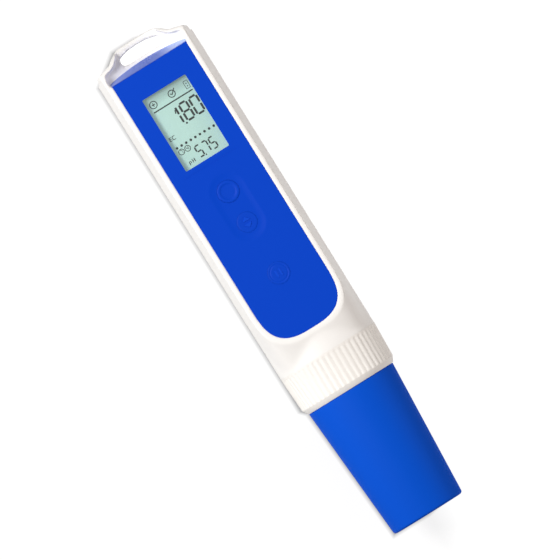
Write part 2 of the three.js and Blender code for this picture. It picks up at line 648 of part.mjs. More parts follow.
// Solid outer form that both shells and the battery door are cut from
const outerForm = cutBy(kept(joined(barrel(0, 0), platform(0, FRONT, LIP_EDGE, END_RAMP)), planPrism(), sidePrism()),
  scoop(), lanyardSlot());

// Walls of the housing, with the end wall and the rib that trap the collar's flange
function housingWalls() {
  const ribLow = COLLAR_FLANGE_HIGH + GAP;
  const rib = kept(rodY(2 * HALF_WIDTH, ribLow, ribLow + RIB_THICKNESS, 0, 0, ROUND_STEPS), outerForm);
  const ribBore = rodY(BORE_RADIUS + SLEEVE_WALL + GAP, ribLow - OVERRUN, ribLow + RIB_THICKNESS + OVERRUN, 0, 0,
    ROUND_STEPS);
  const endBore = rodY(SPIGOT_RADIUS + GAP, -OVERRUN, END_WALL + OVERRUN, 0, 0, ROUND_STEPS);
  return cutBy(outerForm, cavity().subtract(rib.subtract(ribBore)), endBore);
}

const walls = housingWalls();
const postPlaces = [[-BOSS_X, LOWER_POST_Y], [BOSS_X, LOWER_POST_Y], [-BOSS_X, UPPER_POST_Y], [BOSS_X, UPPER_POST_Y]];
const doorScrewPlaces = [DOOR_LOW + DOOR_SCREW_INSET, DOOR_HIGH - DOOR_SCREW_INSET];
const screwHole = SCREW_RADIUS + GAP;
const headHole = SCREW_HEAD_RADIUS + GAP;

function upperHalf() {
  return block(-HALF_WIDTH - OVERRUN, HALF_WIDTH + OVERRUN, -OVERRUN, HOUSING_LENGTH + OVERRUN, 0, FRONT + OVERRUN);
}

function lowerHalf() {
  return block(-HALF_WIDTH - OVERRUN, HALF_WIDTH + OVERRUN, -OVERRUN, HOUSING_LENGTH + OVERRUN, -BACK - OVERRUN, 0);
}

// Side view of the panel: a flat plate whose far end turns down into the scoop
function panelBand(low, shiftIn, shiftOut, high) {
  const bottom = FRONT - SCOOP_DEPTH - OVERRUN;
  return prismX([
    new THREE.Vector2(0, low),
    new THREE.Vector2(leanY(low, -shiftIn), low),
    new THREE.Vector2(leanY(bottom, -shiftIn), bottom),
    new THREE.Vector2(leanY(bottom, shiftOut), bottom),
    new THREE.Vector2(leanY(high, shiftOut), high),
    new THREE.Vector2(0, high),
  ], -HALF_WIDTH, HALF_WIDTH);
}

function flaredOutline(grow) {
  const outline = panelOutline(PANEL_HALF + grow, PANEL_TOP);
  const wide = PANEL_HALF + PANEL_FLARE + grow;
  const far = HOUSING_LENGTH + OVERRUN;
  outline.splice(-1, 0, new THREE.Vector2(wide, PANEL_TOP + FLARE_RISE), new THREE.Vector2(wide, far),
    new THREE.Vector2(-wide, far), new THREE.Vector2(-wide, PANEL_TOP + FLARE_RISE));
  return outline;
}

function displayOpening(grow) {
  return roundedRectangle(DISPLAY_WIDTH / 2 + grow, WINDOW_Y - DISPLAY_LENGTH / 2 - grow,
    WINDOW_Y + DISPLAY_LENGTH / 2 + grow, WINDOW_CORNER);
}

const keyPlaces = {
  power_key: [POWER_KEY_RADIUS, POWER_KEY_Y],
  mode_key: [MODE_KEY_RADIUS, MODE_KEY_Y],
  hold_key: [HOLD_KEY_RADIUS, HOLD_KEY_Y],
};

function keyHoles() {
  return Object.values(keyPlaces).map(([radius, y]) => (
    rodZ(radius + GAP, KEY_FOOT_END, FRONT + OVERRUN, 0, y, KEY_STEPS)));
}

function frontShell() {
  const pocket = kept(panelBand(PANEL_UNDER, PANEL_THICKNESS + GAP, OVERRUN, FRONT + OVERRUN),
    prismZ(flaredOutline(GAP), FRONT - SCOOP_DEPTH - OVERRUN, FRONT + OVERRUN), scoopDrum(0));
  const bosses = postPlaces.map(([x, y]) => rodZ(BOSS_RADIUS, 0, FLOOR_UNDER + JOIN, x, y));
  const bossHoles = postPlaces.map(([x, y]) => (
    rodZ(screwHole, -OVERRUN, SHELL_SCREW_LENGTH - SHELL_SCREW_SEAT + GAP, x, y)));
  const restInner = BOARD_HALF_WIDTH - REST_OVERLAP;
  const boardMiddle = (BOARD_LOW + BOARD_HIGH) / 2;
  const restPlaces = [BOARD_LOW + REST_INSET, boardMiddle, BOARD_HIGH - REST_INSET];
  const rests = restPlaces.flatMap((y) => [-1, 1].map((side) => {
    const ends = [side * restInner, side * HALF_WIDTH].sort((a, b) => a - b);
    return block(ends[0], ends[1], y - REST_WIDTH / 2, y + REST_WIDTH / 2, BOARD_TOP + SEAT, FLOOR_UNDER + JOIN);
  }));
  const carried = joined(...bosses, ...rests);
  const body = joined(kept(walls, upperHalf()), kept(carried, outerForm, upperHalf()));
  return cutBy(body, pocket, prismZ(displayOpening(GAP), BOARD_TOP, FRONT), ...bossHoles, ...keyHoles());
}

function doorPrism(grow) {
  const outline = roundedRectangle(DOOR_HALF_WIDTH + grow, DOOR_LOW - grow, DOOR_HIGH + grow, DOOR_CORNER + grow);
  return prismZ(outline, -BACK - OVERRUN, 0);
}

function rearShell() {
  const posts = postPlaces.map(([x, y]) => rodZ(POST_RADIUS, -BACK, 0, x, y));
  const holes = postPlaces.flatMap(([x, y]) => [
    rodZ(screwHole, -BACK - OVERRUN, OVERRUN, x, y),
    rodZ(headHole, -BACK - OVERRUN, -SHELL_SCREW_SEAT, x, y),
  ]);
  const ledge = cutBy(kept(doorPrism(LEDGE_FRAME), barrel(WALL - JOIN, 0)), doorPrism(-LEDGE_WIDTH),
    barrel(LEDGE_INNER, 0), doorPrism(GAP).subtract(barrel(LEDGE_OUTER, 0)));
  const bosses = doorScrewPlaces.map((y) => {
    const edge = y < DOOR_Y ? DOOR_LOW + LEDGE_WIDTH / 2 : DOOR_HIGH - LEDGE_WIDTH / 2;
    const ends = [edge, y].sort((a, b) => a - b);
    const web = block(-DOOR_BOSS_RADIUS, DOOR_BOSS_RADIUS, ends[0], ends[1], -BACK, -DOOR_BOSS_TOP);
    return kept(joined(rodZ(DOOR_BOSS_RADIUS, -BACK, -DOOR_BOSS_TOP, 0, y), web), barrel(LEDGE_OUTER, 0));
  });
  const bossHoles = doorScrewPlaces.map((y) => rodZ(screwHole, -BACK, -DOOR_BOSS_TOP + OVERRUN, 0, y));
  const body = joined(kept(walls, lowerHalf()).subtract(doorPrism(GAP)), kept(joined(...posts), outerForm),
    ledge);
  return cutBy(joined(body, ...bosses), ...holes, ...bossHoles);
}

function batteryDoor() {
  const seat = -BACK + DOOR_HEAD_SINK + SCREW_HEAD_HEIGHT;
  const pads = doorScrewPlaces.map((y) => rodZ(DOOR_PAD_RADIUS, -BACK, LEDGE_OUTER - GAP - BACK - BACK_BULGE, 0, y)
    .intersect(outerForm));
  const plate = kept(doorPrism(0), outerForm).subtract(barrel(WALL, 0));
  const holes = doorScrewPlaces.flatMap((y) => [
    rodZ(screwHole, -BACK - OVERRUN, 0, 0, y),
    rodZ(headHole, -BACK - OVERRUN, seat, 0, y),
  ]);
  return cutBy(joined(plate, ...pads), ...holes);
}

function doorGasket() {
  const ring = doorPrism(-GAP / 2).subtract(doorPrism(-GAP / 2 - GASKET_WIDTH));
  return ring.intersect(barrel(WALL + SEAT, 0)).subtract(barrel(WALL + SEAT + GASKET_THICKNESS, 0));
}

function facePanel() {
  const plate = kept(panelBand(PANEL_UNDER, PANEL_THICKNESS, 0, FRONT),
    prismZ(flaredOutline(0), FRONT - SCOOP_DEPTH - OVERRUN, FRONT), scoopDrum(SEAT));
  const window = prismZ(roundedRectangle(WINDOW_WIDTH / 2, WINDOW_LOW, WINDOW_LOW + WINDOW_LENGTH, WINDOW_CORNER),
    PANEL_UNDER - OVERRUN, FRONT + OVERRUN);
  const dishLow = MODE_KEY_Y - DISH_MARGIN_LOW;
  const dishHigh = POWER_KEY_Y + DISH_MARGIN_HIGH;
  const dishLevels = [[FRONT - DISH_DEPTH, -DISH_SLOPE], [FRONT, 0], [FRONT + OVERRUN, 0]];
  const dish = loft(dishLevels.map(([z, grow]) => (
    roundedRectangle(DISH_HALF_WIDTH + grow, dishLow - grow, dishHigh + grow, DISH_HALF_WIDTH + grow - JOIN)
      .map((p) => new THREE.Vector3(p.x, p.y, z)))));
  return cutBy(plate, window, dish, ...keyHoles());
}

// Keys stand on their own axis, with Z measured from the pen's axis
function keyProfile(radius, top, hollow) {
  const flange = radius + KEY_FLANGE;
  const face = top - (hollow > 0 ? RING_RISE : 0);
  const flangeUnder = KEY_FLANGE_TOP - KEY_FLANGE_THICKNESS;
  const raised = hollow > 0 ? [[hollow - RING_RISE, face], [hollow, top], [radius - RING_RISE, top]]
    : [[radius - RING_RISE, top]];
  return [
    [0, KEY_FOOT_END], [PLUNGER_RADIUS, KEY_FOOT_END], [PLUNGER_RADIUS, flangeUnder], [flange, flangeUnder],
    [flange, KEY_FLANGE_TOP], [radius, KEY_FLANGE_TOP], [radius, top - RING_RISE], ...raised.reverse(), [0, face],
  ];
}

function switchBody() {
  const half = SWITCH_SIZE / 2;
  const body = block(-half, half, -half, half, BOARD_TOP + SEAT, SWITCH_TOP);
  const well = PLUNGER_DEPTH + KEY_TRAVEL + GAP;
  return body.subtract(rodZ(PLUNGER_RADIUS + GAP, SWITCH_TOP - well, SWITCH_TOP + OVERRUN));
}

function displayWindow() {
  const half = WINDOW_WIDTH / 2 - LENS_CLEARANCE;
  const pane = prismZ(roundedRectangle(half, WINDOW_LOW + LENS_CLEARANCE,
    WINDOW_LOW + WINDOW_LENGTH - LENS_CLEARANCE, WINDOW_CORNER), LENS_FLANGE_TOP - JOIN, FRONT - LENS_RECESS);
  return joined(prismZ(displayOpening(0), LENS_FLANGE_TOP - LENS_FLANGE, LENS_FLANGE_TOP), pane);
}

const stripLow = WINDOW_Y - DISPLAY_LENGTH / 2;
const stripHalf = DISPLAY_WIDTH / 2 - FRAME_WALL;

function displayFrame() {
  const low = WINDOW_Y - FRAME_HALF_LENGTH;
  const high = WINDOW_Y + FRAME_HALF_LENGTH;
  const frame = block(-FRAME_HALF_WIDTH, FRAME_HALF_WIDTH, low, high, BOARD_TOP + SEAT, FLOOR_UNDER - SEAT);
  const pocket = prismZ(displayOpening(GAP), BACKLIGHT_TOP - BACKLIGHT_THICKNESS - SEAT, FRONT);
  const stripSlot = block(-stripHalf - GAP, stripHalf + GAP, stripLow - GAP, stripLow + STRIP_WIDTH + GAP,
    BOARD_TOP - OVERRUN, FRONT);
  return cutBy(frame, pocket, stripSlot);
}

function mainBoard() {
  const board = prismZ(roundedRectangle(BOARD_HALF_WIDTH, BOARD_LOW, BOARD_HIGH, BOARD_CORNER), BOARD_UNDER, BOARD_TOP);
  const notches = postPlaces.map(([x, y]) => rodZ(BOSS_RADIUS + GAP, BOARD_UNDER - OVERRUN, BOARD_TOP + OVERRUN, x, y));
  const chipHalf = CHIP_SIZE / 2;
  const chips = [WINDOW_Y, HOLD_KEY_Y + SWITCH_SIZE + chipHalf].map((y) => (
    block(-chipHalf, chipHalf, y - chipHalf, y + chipHalf, BOARD_UNDER - CHIP_HEIGHT, BOARD_UNDER + JOIN)));
  return joined(cutBy(board, ...notches), ...chips);
}

function plugX(i) {
  return (i - (CONTACT_COUNT - 1) / 2) * CONTACT_PITCH;
}

const plugHigh = BOARD_UNDER - SEAT - SOCKET_WALL;
const plugMiddle = plugHigh - PLUG_HEIGHT / 2;
const socketLow = SLEEVE_TOP - STEM_SHORTFALL + PLUG_THICKNESS + SEAT + 2 * GAP;

function boardSocket() {
  const half = PLUG_WIDTH / 2;
  const body = block(-half, half, socketLow, socketLow + SOCKET_LENGTH, plugHigh - PLUG_HEIGHT, BOARD_UNDER - SEAT);
  const holeHalf = CONTACT_SIZE / 2 + GAP;
  const holes = Array.from({ length: CONTACT_COUNT }, (_, i) => (
    block(plugX(i) - holeHalf, plugX(i) + holeHalf, socketLow - OVERRUN, socketLow + CONTACT_LENGTH + GAP,
      plugMiddle - holeHalf, plugMiddle + holeHalf)));
  return cutBy(body, ...holes);
}

function neckCollar() {
  const sleeve = BORE_RADIUS + SLEEVE_WALL;
  const flange = COLLAR_RADIUS - WALL - GAP;
  return turned([
    [BORE_RADIUS, -SPIGOT_LENGTH], [SPIGOT_RADIUS - GAP, -SPIGOT_LENGTH], [SPIGOT_RADIUS, GAP - SPIGOT_LENGTH],
    [SPIGOT_RADIUS, COLLAR_FLANGE_LOW], [flange, COLLAR_FLANGE_LOW], [flange, COLLAR_FLANGE_HIGH],
    [sleeve, COLLAR_FLANGE_HIGH], [sleeve, SLEEVE_TOP], [BORE_RADIUS, SLEEVE_TOP], [BORE_RADIUS, -SPIGOT_LENGTH],
  ], INNER_STEPS);
}

// Ribbed ring, from its lower edge up
function lockRing() {
  const foot = RING_RADIUS - RING_FOOT_STEP;
  const levels = [[0, foot, 0], [RING_CHAMFER, RING_RADIUS - RING_TAPER, RIB_DEPTH],
    [RING_LENGTH, RING_RADIUS, RIB_DEPTH]];
  const ribShares = [[0, 0], [0.25, 1], [0.6, 1]];
  const rings = levels.map(([y, radius, depth]) => (
    Array.from({ length: RIB_COUNT }, (_, rib) => ribShares.map(([turn, rise]) => {
      const angle = 2 * Math.PI * (rib + turn) / RIB_COUNT;
      const r = radius - depth * (1 - rise);
      return new THREE.Vector3(r * Math.cos(angle), y, r * Math.sin(angle));
    })).flat()));
  const bore = rodY(SPIGOT_RADIUS + GAP, RING_SHOULDER, RING_LENGTH + OVERRUN, 0, 0, ROUND_STEPS);
  const mouth = rodY(NECK_RADIUS + GAP, -OVERRUN, RING_SHOULDER + OVERRUN, 0, 0, ROUND_STEPS);
  return cutBy(loft(rings), bore, mouth);
}

// Probe, from the underside of its flange
const stemTop = HOUSING_Y + SLEEVE_TOP - STEM_SHORTFALL - PROBE_Y;
const bossEnd = -NECK_LENGTH - SENSOR_BOSS_LENGTH;
const guardEnd = CAP_FLOOR + CAP_WELL - PROBE_Y;
const bulbEnd = guardEnd + SENSOR_SETBACK;
const grooveHalf = SEAL_RADIUS + SEAT;
const sealPlaces = [SEAL_START, SEAL_START + SEAL_SPACING].map((up) => PROBE_FLANGE + up);
const neckSealY = -NECK_LENGTH / 2;

function grooved(radius, y) {
  const depth = 2 * SEAL_RADIUS - SEAL_PROUD + SEAT;
  return [[radius, y - grooveHalf], [radius - depth, y - grooveHalf], [radius - depth, y + grooveHalf],
    [radius, y + grooveHalf]];
}

const sensorPlaces = {
  ph_bulb: [BULB_STEM_RADIUS, -BULB_OFFSET, 0],
  conductivity_pin_front: [PIN_RADIUS, PIN_OFFSET, PIN_SPREAD],
  conductivity_pin_rear: [PIN_RADIUS, PIN_OFFSET, -PIN_SPREAD],
  reference_junction: [JUNCTION_RADIUS, 0, SIDE_SENSOR_OFFSET],
  temperature_pin: [THERMOMETER_RADIUS, 0, -SIDE_SENSOR_OFFSET],
};

function probeHolder() {
  const body = turned([
    [0, bossEnd], [SENSOR_BOSS_RADIUS, bossEnd], [SENSOR_BOSS_RADIUS, -NECK_LENGTH],
    [NECK_RADIUS - GAP, -NECK_LENGTH], [NECK_RADIUS, GAP - NECK_LENGTH], ...grooved(NECK_RADIUS, neckSealY),
    [NECK_RADIUS, 0], [SPIGOT_RADIUS, 0], [SPIGOT_RADIUS, PROBE_FLANGE], [STEM_RADIUS, PROBE_FLANGE],
    ...sealPlaces.flatMap((y) => grooved(STEM_RADIUS, y)),
    [STEM_RADIUS, stemTop - GAP], [STEM_RADIUS - GAP, stemTop], [0, stemTop],
  ], INNER_STEPS);
  const holes = Object.values(sensorPlaces).map(([radius, x, z]) => (
    rodY(radius + SEAT, bossEnd - OVERRUN, bossEnd + SOCKET_DEPTH, x, z)));
  return cutBy(body, ...holes);
}

function sealRing(outerRadius) {
  const centre = outerRadius + SEAL_PROUD - SEAL_RADIUS;
  const section = Array.from({ length: SEAL_SIDES + 1 }, (_, i) => {
    const angle = 2 * Math.PI * i / SEAL_SIDES;
    return [centre + SEAL_RADIUS * Math.cos(angle), SEAL_RADIUS * Math.sin(angle)];
  });
  return turned(section, INNER_STEPS);
}

function sensorGuard() {
  const top = -NECK_LENGTH - SEAT;
  const inner = GUARD_RADIUS - GUARD_WALL;
  const tube = turned([[inner, guardEnd], [GUARD_RADIUS - GAP, guardEnd], [GUARD_RADIUS, guardEnd + GAP],
    [GUARD_RADIUS, top], [inner, top], [inner, guardEnd]], INNER_STEPS);
  const half = GUARD_SLOT_WIDTH / 2;
  const low = guardEnd + GUARD_RIM;
  const outline = roundedRectangle(half, low, low + GUARD_SLOT_LENGTH, half - JOIN);
  const across = prismZ(outline, -GUARD_RADIUS - OVERRUN, GUARD_RADIUS + OVERRUN);
  const along = prismX(outline.map((p) => new THREE.Vector2(p.y, p.x)).reverse(), -GUARD_RADIUS - OVERRUN,
    GUARD_RADIUS + OVERRUN);
  return cutBy(tube, across, along);
}

function phBulb() {
  const top = bossEnd + SOCKET_DEPTH - SEAT;
  const centre = bulbEnd + BULB_RADIUS;
  const neck = Math.asin(BULB_STEM_RADIUS / BULB_RADIUS);
  const dome = arc(0, centre, BULB_RADIUS, BULB_RADIUS, -Math.PI / 2, Math.PI / 2 - neck).map((p) => [p.x, p.y]);
  dome[0][0] = 0;
  return turned([...dome, [BULB_STEM_RADIUS, top], [0, top]], SMALL_STEPS);
}

function sensorRod(radius, end) {
  const top = bossEnd + SOCKET_DEPTH - SEAT;
  const tip = arc(0, end + radius, radius, radius, -Math.PI / 2, 0, EDGE_STEPS).map((p) => [p.x, p.y]);
  tip[0][0] = 0;
  return turned([...tip, [radius, top], [0, top]], SMALL_STEPS);
}

function probePlug() {
  const half = PLUG_WIDTH / 2;
  const low = stemTop + SEAT;
  const body = block(-half, half, low, low + PLUG_THICKNESS, plugHigh - PLUG_HEIGHT, plugHigh);
  const contactHalf = CONTACT_SIZE / 2;
  const contacts = Array.from({ length: CONTACT_COUNT }, (_, i) => (
    block(plugX(i) - contactHalf, plugX(i) + contactHalf, low, low + PLUG_THICKNESS + 2 * GAP + CONTACT_LENGTH - GAP,
      plugMiddle - contactHalf, plugMiddle + contactHalf)));
  return joined(body, ...contacts);
}

// Cap, from its closed end
function capShell() {
  const slope = (CAP_MOUTH_RADIUS - CAP_END_RADIUS) / CAP_LENGTH;
  const innerAt = (y) => CAP_END_RADIUS + slope * y - CAP_WALL;
  const seatRadius = NECK_RADIUS + GAP;
  const seatLow = CAP_LENGTH + GAP + RING_SHOULDER + SEAT - NECK_LENGTH - CAP_SEAT_MARGIN;
  const corner = arc(CAP_END_RADIUS - CAP_EDGE, CAP_EDGE, CAP_EDGE, CAP_EDGE, -Math.PI / 2, 0, EDGE_STEPS).map((p) => [p.x, p.y]);
  const floorCorner = arc(innerAt(CAP_FLOOR) - CAP_EDGE, CAP_FLOOR + CAP_EDGE, CAP_EDGE, CAP_EDGE, 0, -Math.PI / 2, EDGE_STEPS)
    .map((p) => [p.x, p.y]);
  return turned([
    [0, 0], ...corner, [CAP_MOUTH_RADIUS, CAP_LENGTH - GAP], [CAP_MOUTH_RADIUS - GAP, CAP_LENGTH],
    [seatRadius, CAP_LENGTH], [seatRadius, seatLow], [innerAt(seatLow - GAP), seatLow - GAP], ...floorCorner,
    [0, CAP_FLOOR],
  ], CAP_STEPS);
}

// Screw from the underside of its head, its shank up and its head down
function screw(length) {
  const body = turnedUpright([
    [0, length], [SCREW_RADIUS, length - SCREW_RADIUS], [SCREW_RADIUS, 0], [SCREW_HEAD_RADIUS, 0],
    [SCREW_HEAD_RADIUS, -SCREW_HEAD_HEIGHT], [0, -SCREW_HEAD_HEIGHT],
  ]);
  const half = SCREW_DRIVE / 2;
  const low = -SCREW_HEAD_HEIGHT - OVERRUN;
  const high = SCREW_DRIVE_DEPTH - SCREW_HEAD_HEIGHT;
  const long = SCREW_HEAD_RADIUS - GAP - SEAT;
  const cross = joined(block(-long, long, -half, half, low, high), block(-half, half, -long, long, low, high));
  return body.subtract(cross);
}

// One AAA cell, from its flat end to its raised end
function cell() {
  const shoulder = CELL_LENGTH - CELL_NUB_LENGTH;
  return turned([
    [0, 0], [CELL_RADIUS - CELL_EDGE, 0], [CELL_RADIUS, CELL_EDGE], [CELL_RADIUS, shoulder - CELL_EDGE],
    [CELL_RADIUS - CELL_EDGE, shoulder], [CELL_NUB_RADIUS, shoulder], [CELL_NUB_RADIUS, CELL_LENGTH], [0, CELL_LENGTH],
  ], CELL_STEPS);
}

function batteryTray() {
  const low = CELL_LOW - CONTACT_DEPTH - TRAY_WALL;
  const high = CELL_LOW + CELL_LENGTH + CONTACT_DEPTH + TRAY_WALL;
  const floor = CELL_RADIUS + GAP - CELL_SINK;
  const body = block(-TRAY_HALF_WIDTH, TRAY_HALF_WIDTH, low, high, -CELL_SINK - CELL_RADIUS, floor + TRAY_WALL);
  const room = block(TRAY_WALL - TRAY_HALF_WIDTH, TRAY_HALF_WIDTH - TRAY_WALL, low + TRAY_WALL, high - TRAY_WALL,
    -BACK, floor);
  return cutBy(body, room).intersect(barrel(LEDGE_INNER + GAP, 0));
}

// Sprung contact: a strip that bows towards the cell's end
function leaf(halfWidth) {
  const bow = CONTACT_DEPTH - LEAF_THICKNESS - 2 * SEAT - GAP / 2;
  const line = [
    new THREE.Vector2(0, -LEAF_HALF_HEIGHT),
    ...arc(0, 0, bow, LEAF_BOW, -Math.PI / 2, Math.PI / 2),
    new THREE.Vector2(0, LEAF_HALF_HEIGHT),
  ];
  return prismX(ribbon(line, LEAF_THICKNESS).reverse(), -halfWidth, halfWidth);
}

function place(mesh, x, y, z) {
  mesh.position.set(x, y, z);
  return mesh;
}

// Assemblies
const housing = new THREE.Group();
housing.position.set(0, HOUSING_Y, 0);
housing.add(
  piece('front_shell', frontShell(), whitePlastic),
  piece('rear_shell', rearShell(), whitePlastic),
  piece('face_panel', facePanel(), bluePlastic),
  piece('display_window', displayWindow(), clearPlastic),
  piece('neck_collar', neckCollar(), whitePlastic),
);

const displayBlock = prismZ(displayOpening(0), DISPLAY_TOP - DISPLAY_THICKNESS, DISPLAY_TOP);
const backlightLow = stripLow + STRIP_WIDTH + 2 * GAP;
housing.add(
  piece('lcd_glass', displayBlock, displayGlass),
  piece('lcd_backlight', block(-DISPLAY_WIDTH / 2, DISPLAY_WIDTH / 2, backlightLow, WINDOW_Y + DISPLAY_LENGTH / 2,
    BACKLIGHT_TOP - BACKLIGHT_THICKNESS, BACKLIGHT_TOP), whitePlastic),
  piece('lcd_frame', displayFrame(), blackPlastic),
  piece('contact_strip', block(-stripHalf, stripHalf, stripLow, stripLow + STRIP_WIDTH, BOARD_TOP + SEAT,
    DISPLAY_TOP - DISPLAY_THICKNESS - SEAT), blackRubber),
  piece('main_board', mainBoard(), boardLaminate),
  piece('board_socket', boardSocket(), blackPlastic),
);

const powerTop = FRONT - DISH_DEPTH + RING_RISE;
const modeTop = FRONT - DISH_DEPTH;
const keyShapes = {
  power_key: keyProfile(POWER_KEY_RADIUS, powerTop, POWER_KEY_HOLLOW),
  mode_key: keyProfile(MODE_KEY_RADIUS, modeTop, 0),
  hold_key: keyProfile(HOLD_KEY_RADIUS, FRONT, 0),
};
const plunger = rodZ(PLUNGER_RADIUS, SWITCH_TOP - PLUNGER_DEPTH, KEY_FOOT_END - SEAT);
for (const [name, profile] of Object.entries(keyShapes)) {
  const y = keyPlaces[name][1];
  const label = name.replace('_key', '');
  housing.add(
    place(piece(name, turnedUpright(profile, KEY_STEPS), keyRubber), 0, y, 0),
    place(piece(`${label}_switch`, switchBody(), blackPlastic), 0, y, 0),
    place(piece(`${label}_plunger`, plunger, blackPlastic), 0, y, 0),
  );
}

const shellScrew = screw(SHELL_SCREW_LENGTH);
const screwNames = ['lower_left', 'lower_right', 'upper_left', 'upper_right'];
postPlaces.forEach(([x, y], i) => {
  housing.add(place(piece(`shell_screw_${screwNames[i]}`, shellScrew, steel), x, y, -SHELL_SCREW_SEAT - SEAT));
});

// Battery bay
const contactLow = CELL_LOW - CONTACT_DEPTH + SEAT + LEAF_THICKNESS / 2;
const contactHigh = CELL_LOW + CELL_LENGTH + CONTACT_DEPTH - SEAT - LEAF_THICKNESS / 2;
const leafPlaces = [['contact_positive', -CELL_OFFSET], ['contact_negative', CELL_OFFSET]];
housing.add(
  piece('battery_tray', batteryTray(), blackPlastic),
  piece('battery_door', batteryDoor(), whitePlastic),
  piece('door_gasket', doorGasket(), blackRubber),
  place(piece('cell_left', cell(), cellWrap), -CELL_OFFSET, CELL_LOW, -CELL_SINK),
  place(piece('contact_bridge', leaf(CELL_OFFSET + LEAF_WIDTH / 2), steel), 0, contactLow, -CELL_SINK),
);
const flippedCell = place(piece('cell_right', cell(), cellWrap), CELL_OFFSET, CELL_LOW + CELL_LENGTH, -CELL_SINK);
flippedCell.rotation.z = Math.PI;
housing.add(flippedCell);
for (const [name, x] of leafPlaces) {
  const contact = place(piece(name, leaf(LEAF_WIDTH / 2), steel), x, contactHigh, -CELL_SINK);
  contact.rotation.z = Math.PI;
  housing.add(contact);
}
const doorScrew = screw(DOOR_SCREW_LENGTH);
doorScrewPlaces.forEach((y, i) => {
  const seat = -BACK + DOOR_HEAD_SINK + SCREW_HEAD_HEIGHT - SEAT;
  housing.add(place(piece(`door_screw_${['lower', 'upper'][i]}`, doorScrew, steel), 0, y, seat));
});

const probe = new THREE.Group();
probe.position.set(0, PROBE_Y, 0);
probe.add(
  piece('probe_holder', probeHolder(), blackPlastic),
  piece('sensor_guard', sensorGuard(), blackPlastic),
  piece('probe_plug', probePlug(), blackPlastic),
  place(piece('ph_bulb', phBulb(), sensorGlass), -BULB_OFFSET, 0, 0),
  place(piece('stem_seal_lower', sealRing(STEM_RADIUS), blackRubber), 0, sealPlaces[0], 0),
  place(piece('stem_seal_upper', sealRing(STEM_RADIUS), blackRubber), 0, sealPlaces[1], 0),
  place(piece('cap_seal', sealRing(NECK_RADIUS), blackRubber), 0, neckSealY, 0),
);
const rodMaterials = { reference_junction: ceramic };
for (const [name, [radius, x, z]] of Object.entries(sensorPlaces)) {
  if (name !== 'ph_bulb') {
    probe.add(place(piece(name, sensorRod(radius, bulbEnd + PIN_SETBACK), rodMaterials[name] ?? steel), x, 0, z));
  }
}

const ring = place(piece('lock_ring', lockRing(), whitePlastic), 0, RING_Y, 0);
const cap = piece('cap', capShell(), bluePlastic);

const pen = new THREE.Group();
pen.position.set(0, -PEN_LENGTH / 2, BACK);
pen.add(housing, probe, ring, cap);

export default pen;
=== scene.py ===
"""Looks of the ph test pen: dressed mouldings, display, keys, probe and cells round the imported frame.

Pieces are modelled in millimetres in the frame's own place and turned into metres at the end.
"""
import math

import bmesh
import bpy
from mathutils import Matrix, Vector


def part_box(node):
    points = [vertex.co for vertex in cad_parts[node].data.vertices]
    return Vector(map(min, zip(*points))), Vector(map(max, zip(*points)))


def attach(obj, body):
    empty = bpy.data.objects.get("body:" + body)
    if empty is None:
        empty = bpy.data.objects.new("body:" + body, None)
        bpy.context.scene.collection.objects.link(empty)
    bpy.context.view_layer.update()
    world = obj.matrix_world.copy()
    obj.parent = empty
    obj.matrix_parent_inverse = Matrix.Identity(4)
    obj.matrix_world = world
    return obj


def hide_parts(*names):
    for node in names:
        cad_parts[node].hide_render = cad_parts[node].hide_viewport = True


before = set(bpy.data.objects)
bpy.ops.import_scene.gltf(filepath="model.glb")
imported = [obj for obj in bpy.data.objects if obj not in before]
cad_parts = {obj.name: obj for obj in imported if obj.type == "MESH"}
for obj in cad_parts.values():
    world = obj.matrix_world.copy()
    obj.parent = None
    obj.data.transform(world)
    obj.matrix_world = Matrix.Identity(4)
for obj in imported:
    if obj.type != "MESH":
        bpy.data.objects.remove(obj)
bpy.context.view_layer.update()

# Sizes, millimetres; Y along the pen, Z out of its front
AXIS = 18.6
HOUSING_LOW = -29.6
HOUSING_TOP = 94.0
HALF_WIDTH = 18.5
COLLAR_RADIUS = 18.45
FRONT = 37.5
BACK_DEPTH = 19.0
SIDE_DRAFT = 2.15
END_RAMP = 2.0
PANEL_HALF = 14.4
PANEL_LOW = -20.0
PANEL_END = 15.0
PANEL_TOP = 83.8
PANEL_THICKNESS = 1.2
PANEL_FIT = 0.12
DISH_DEPTH = 0.24
SCOOP_DEPTH = 8.0
SCOOP_RADIUS = 27.0
SCOOP_LEAN = 0.325
TAIL_END = 86.9
TAIL_LENGTH = 16.9
TAB_UNDER = 22.8
SHOULDER_RISE = 6.5
WINDOW_LOW = 46.6
WINDOW_HIGH = 74.7
WINDOW_HALF = 8.5
POWER_Y = 33.6
MODE_Y = 21.5
HOLD_Y = 1.4
OVERRUN = 1.0
END_SPARE = 4.0
VOXEL = 0.42
TURN_STEPS = 96
WALL_CLEAR = 5.0

# Door, ring, cap
DOOR_LOW = -2.15
DOOR_HIGH = 59.95
DOOR_HALF = 12.4
RING_LOW = -44.4
RING_BORE = 15.9
RING_HOLE = 14.2
RIBS = 54
RIB_DEPTH = 0.33
CAP_END = -94.0
CAP_MOUTH = -44.46
CAP_MOUTH_RADIUS = 16.52
CAP_EDGE = 1.1

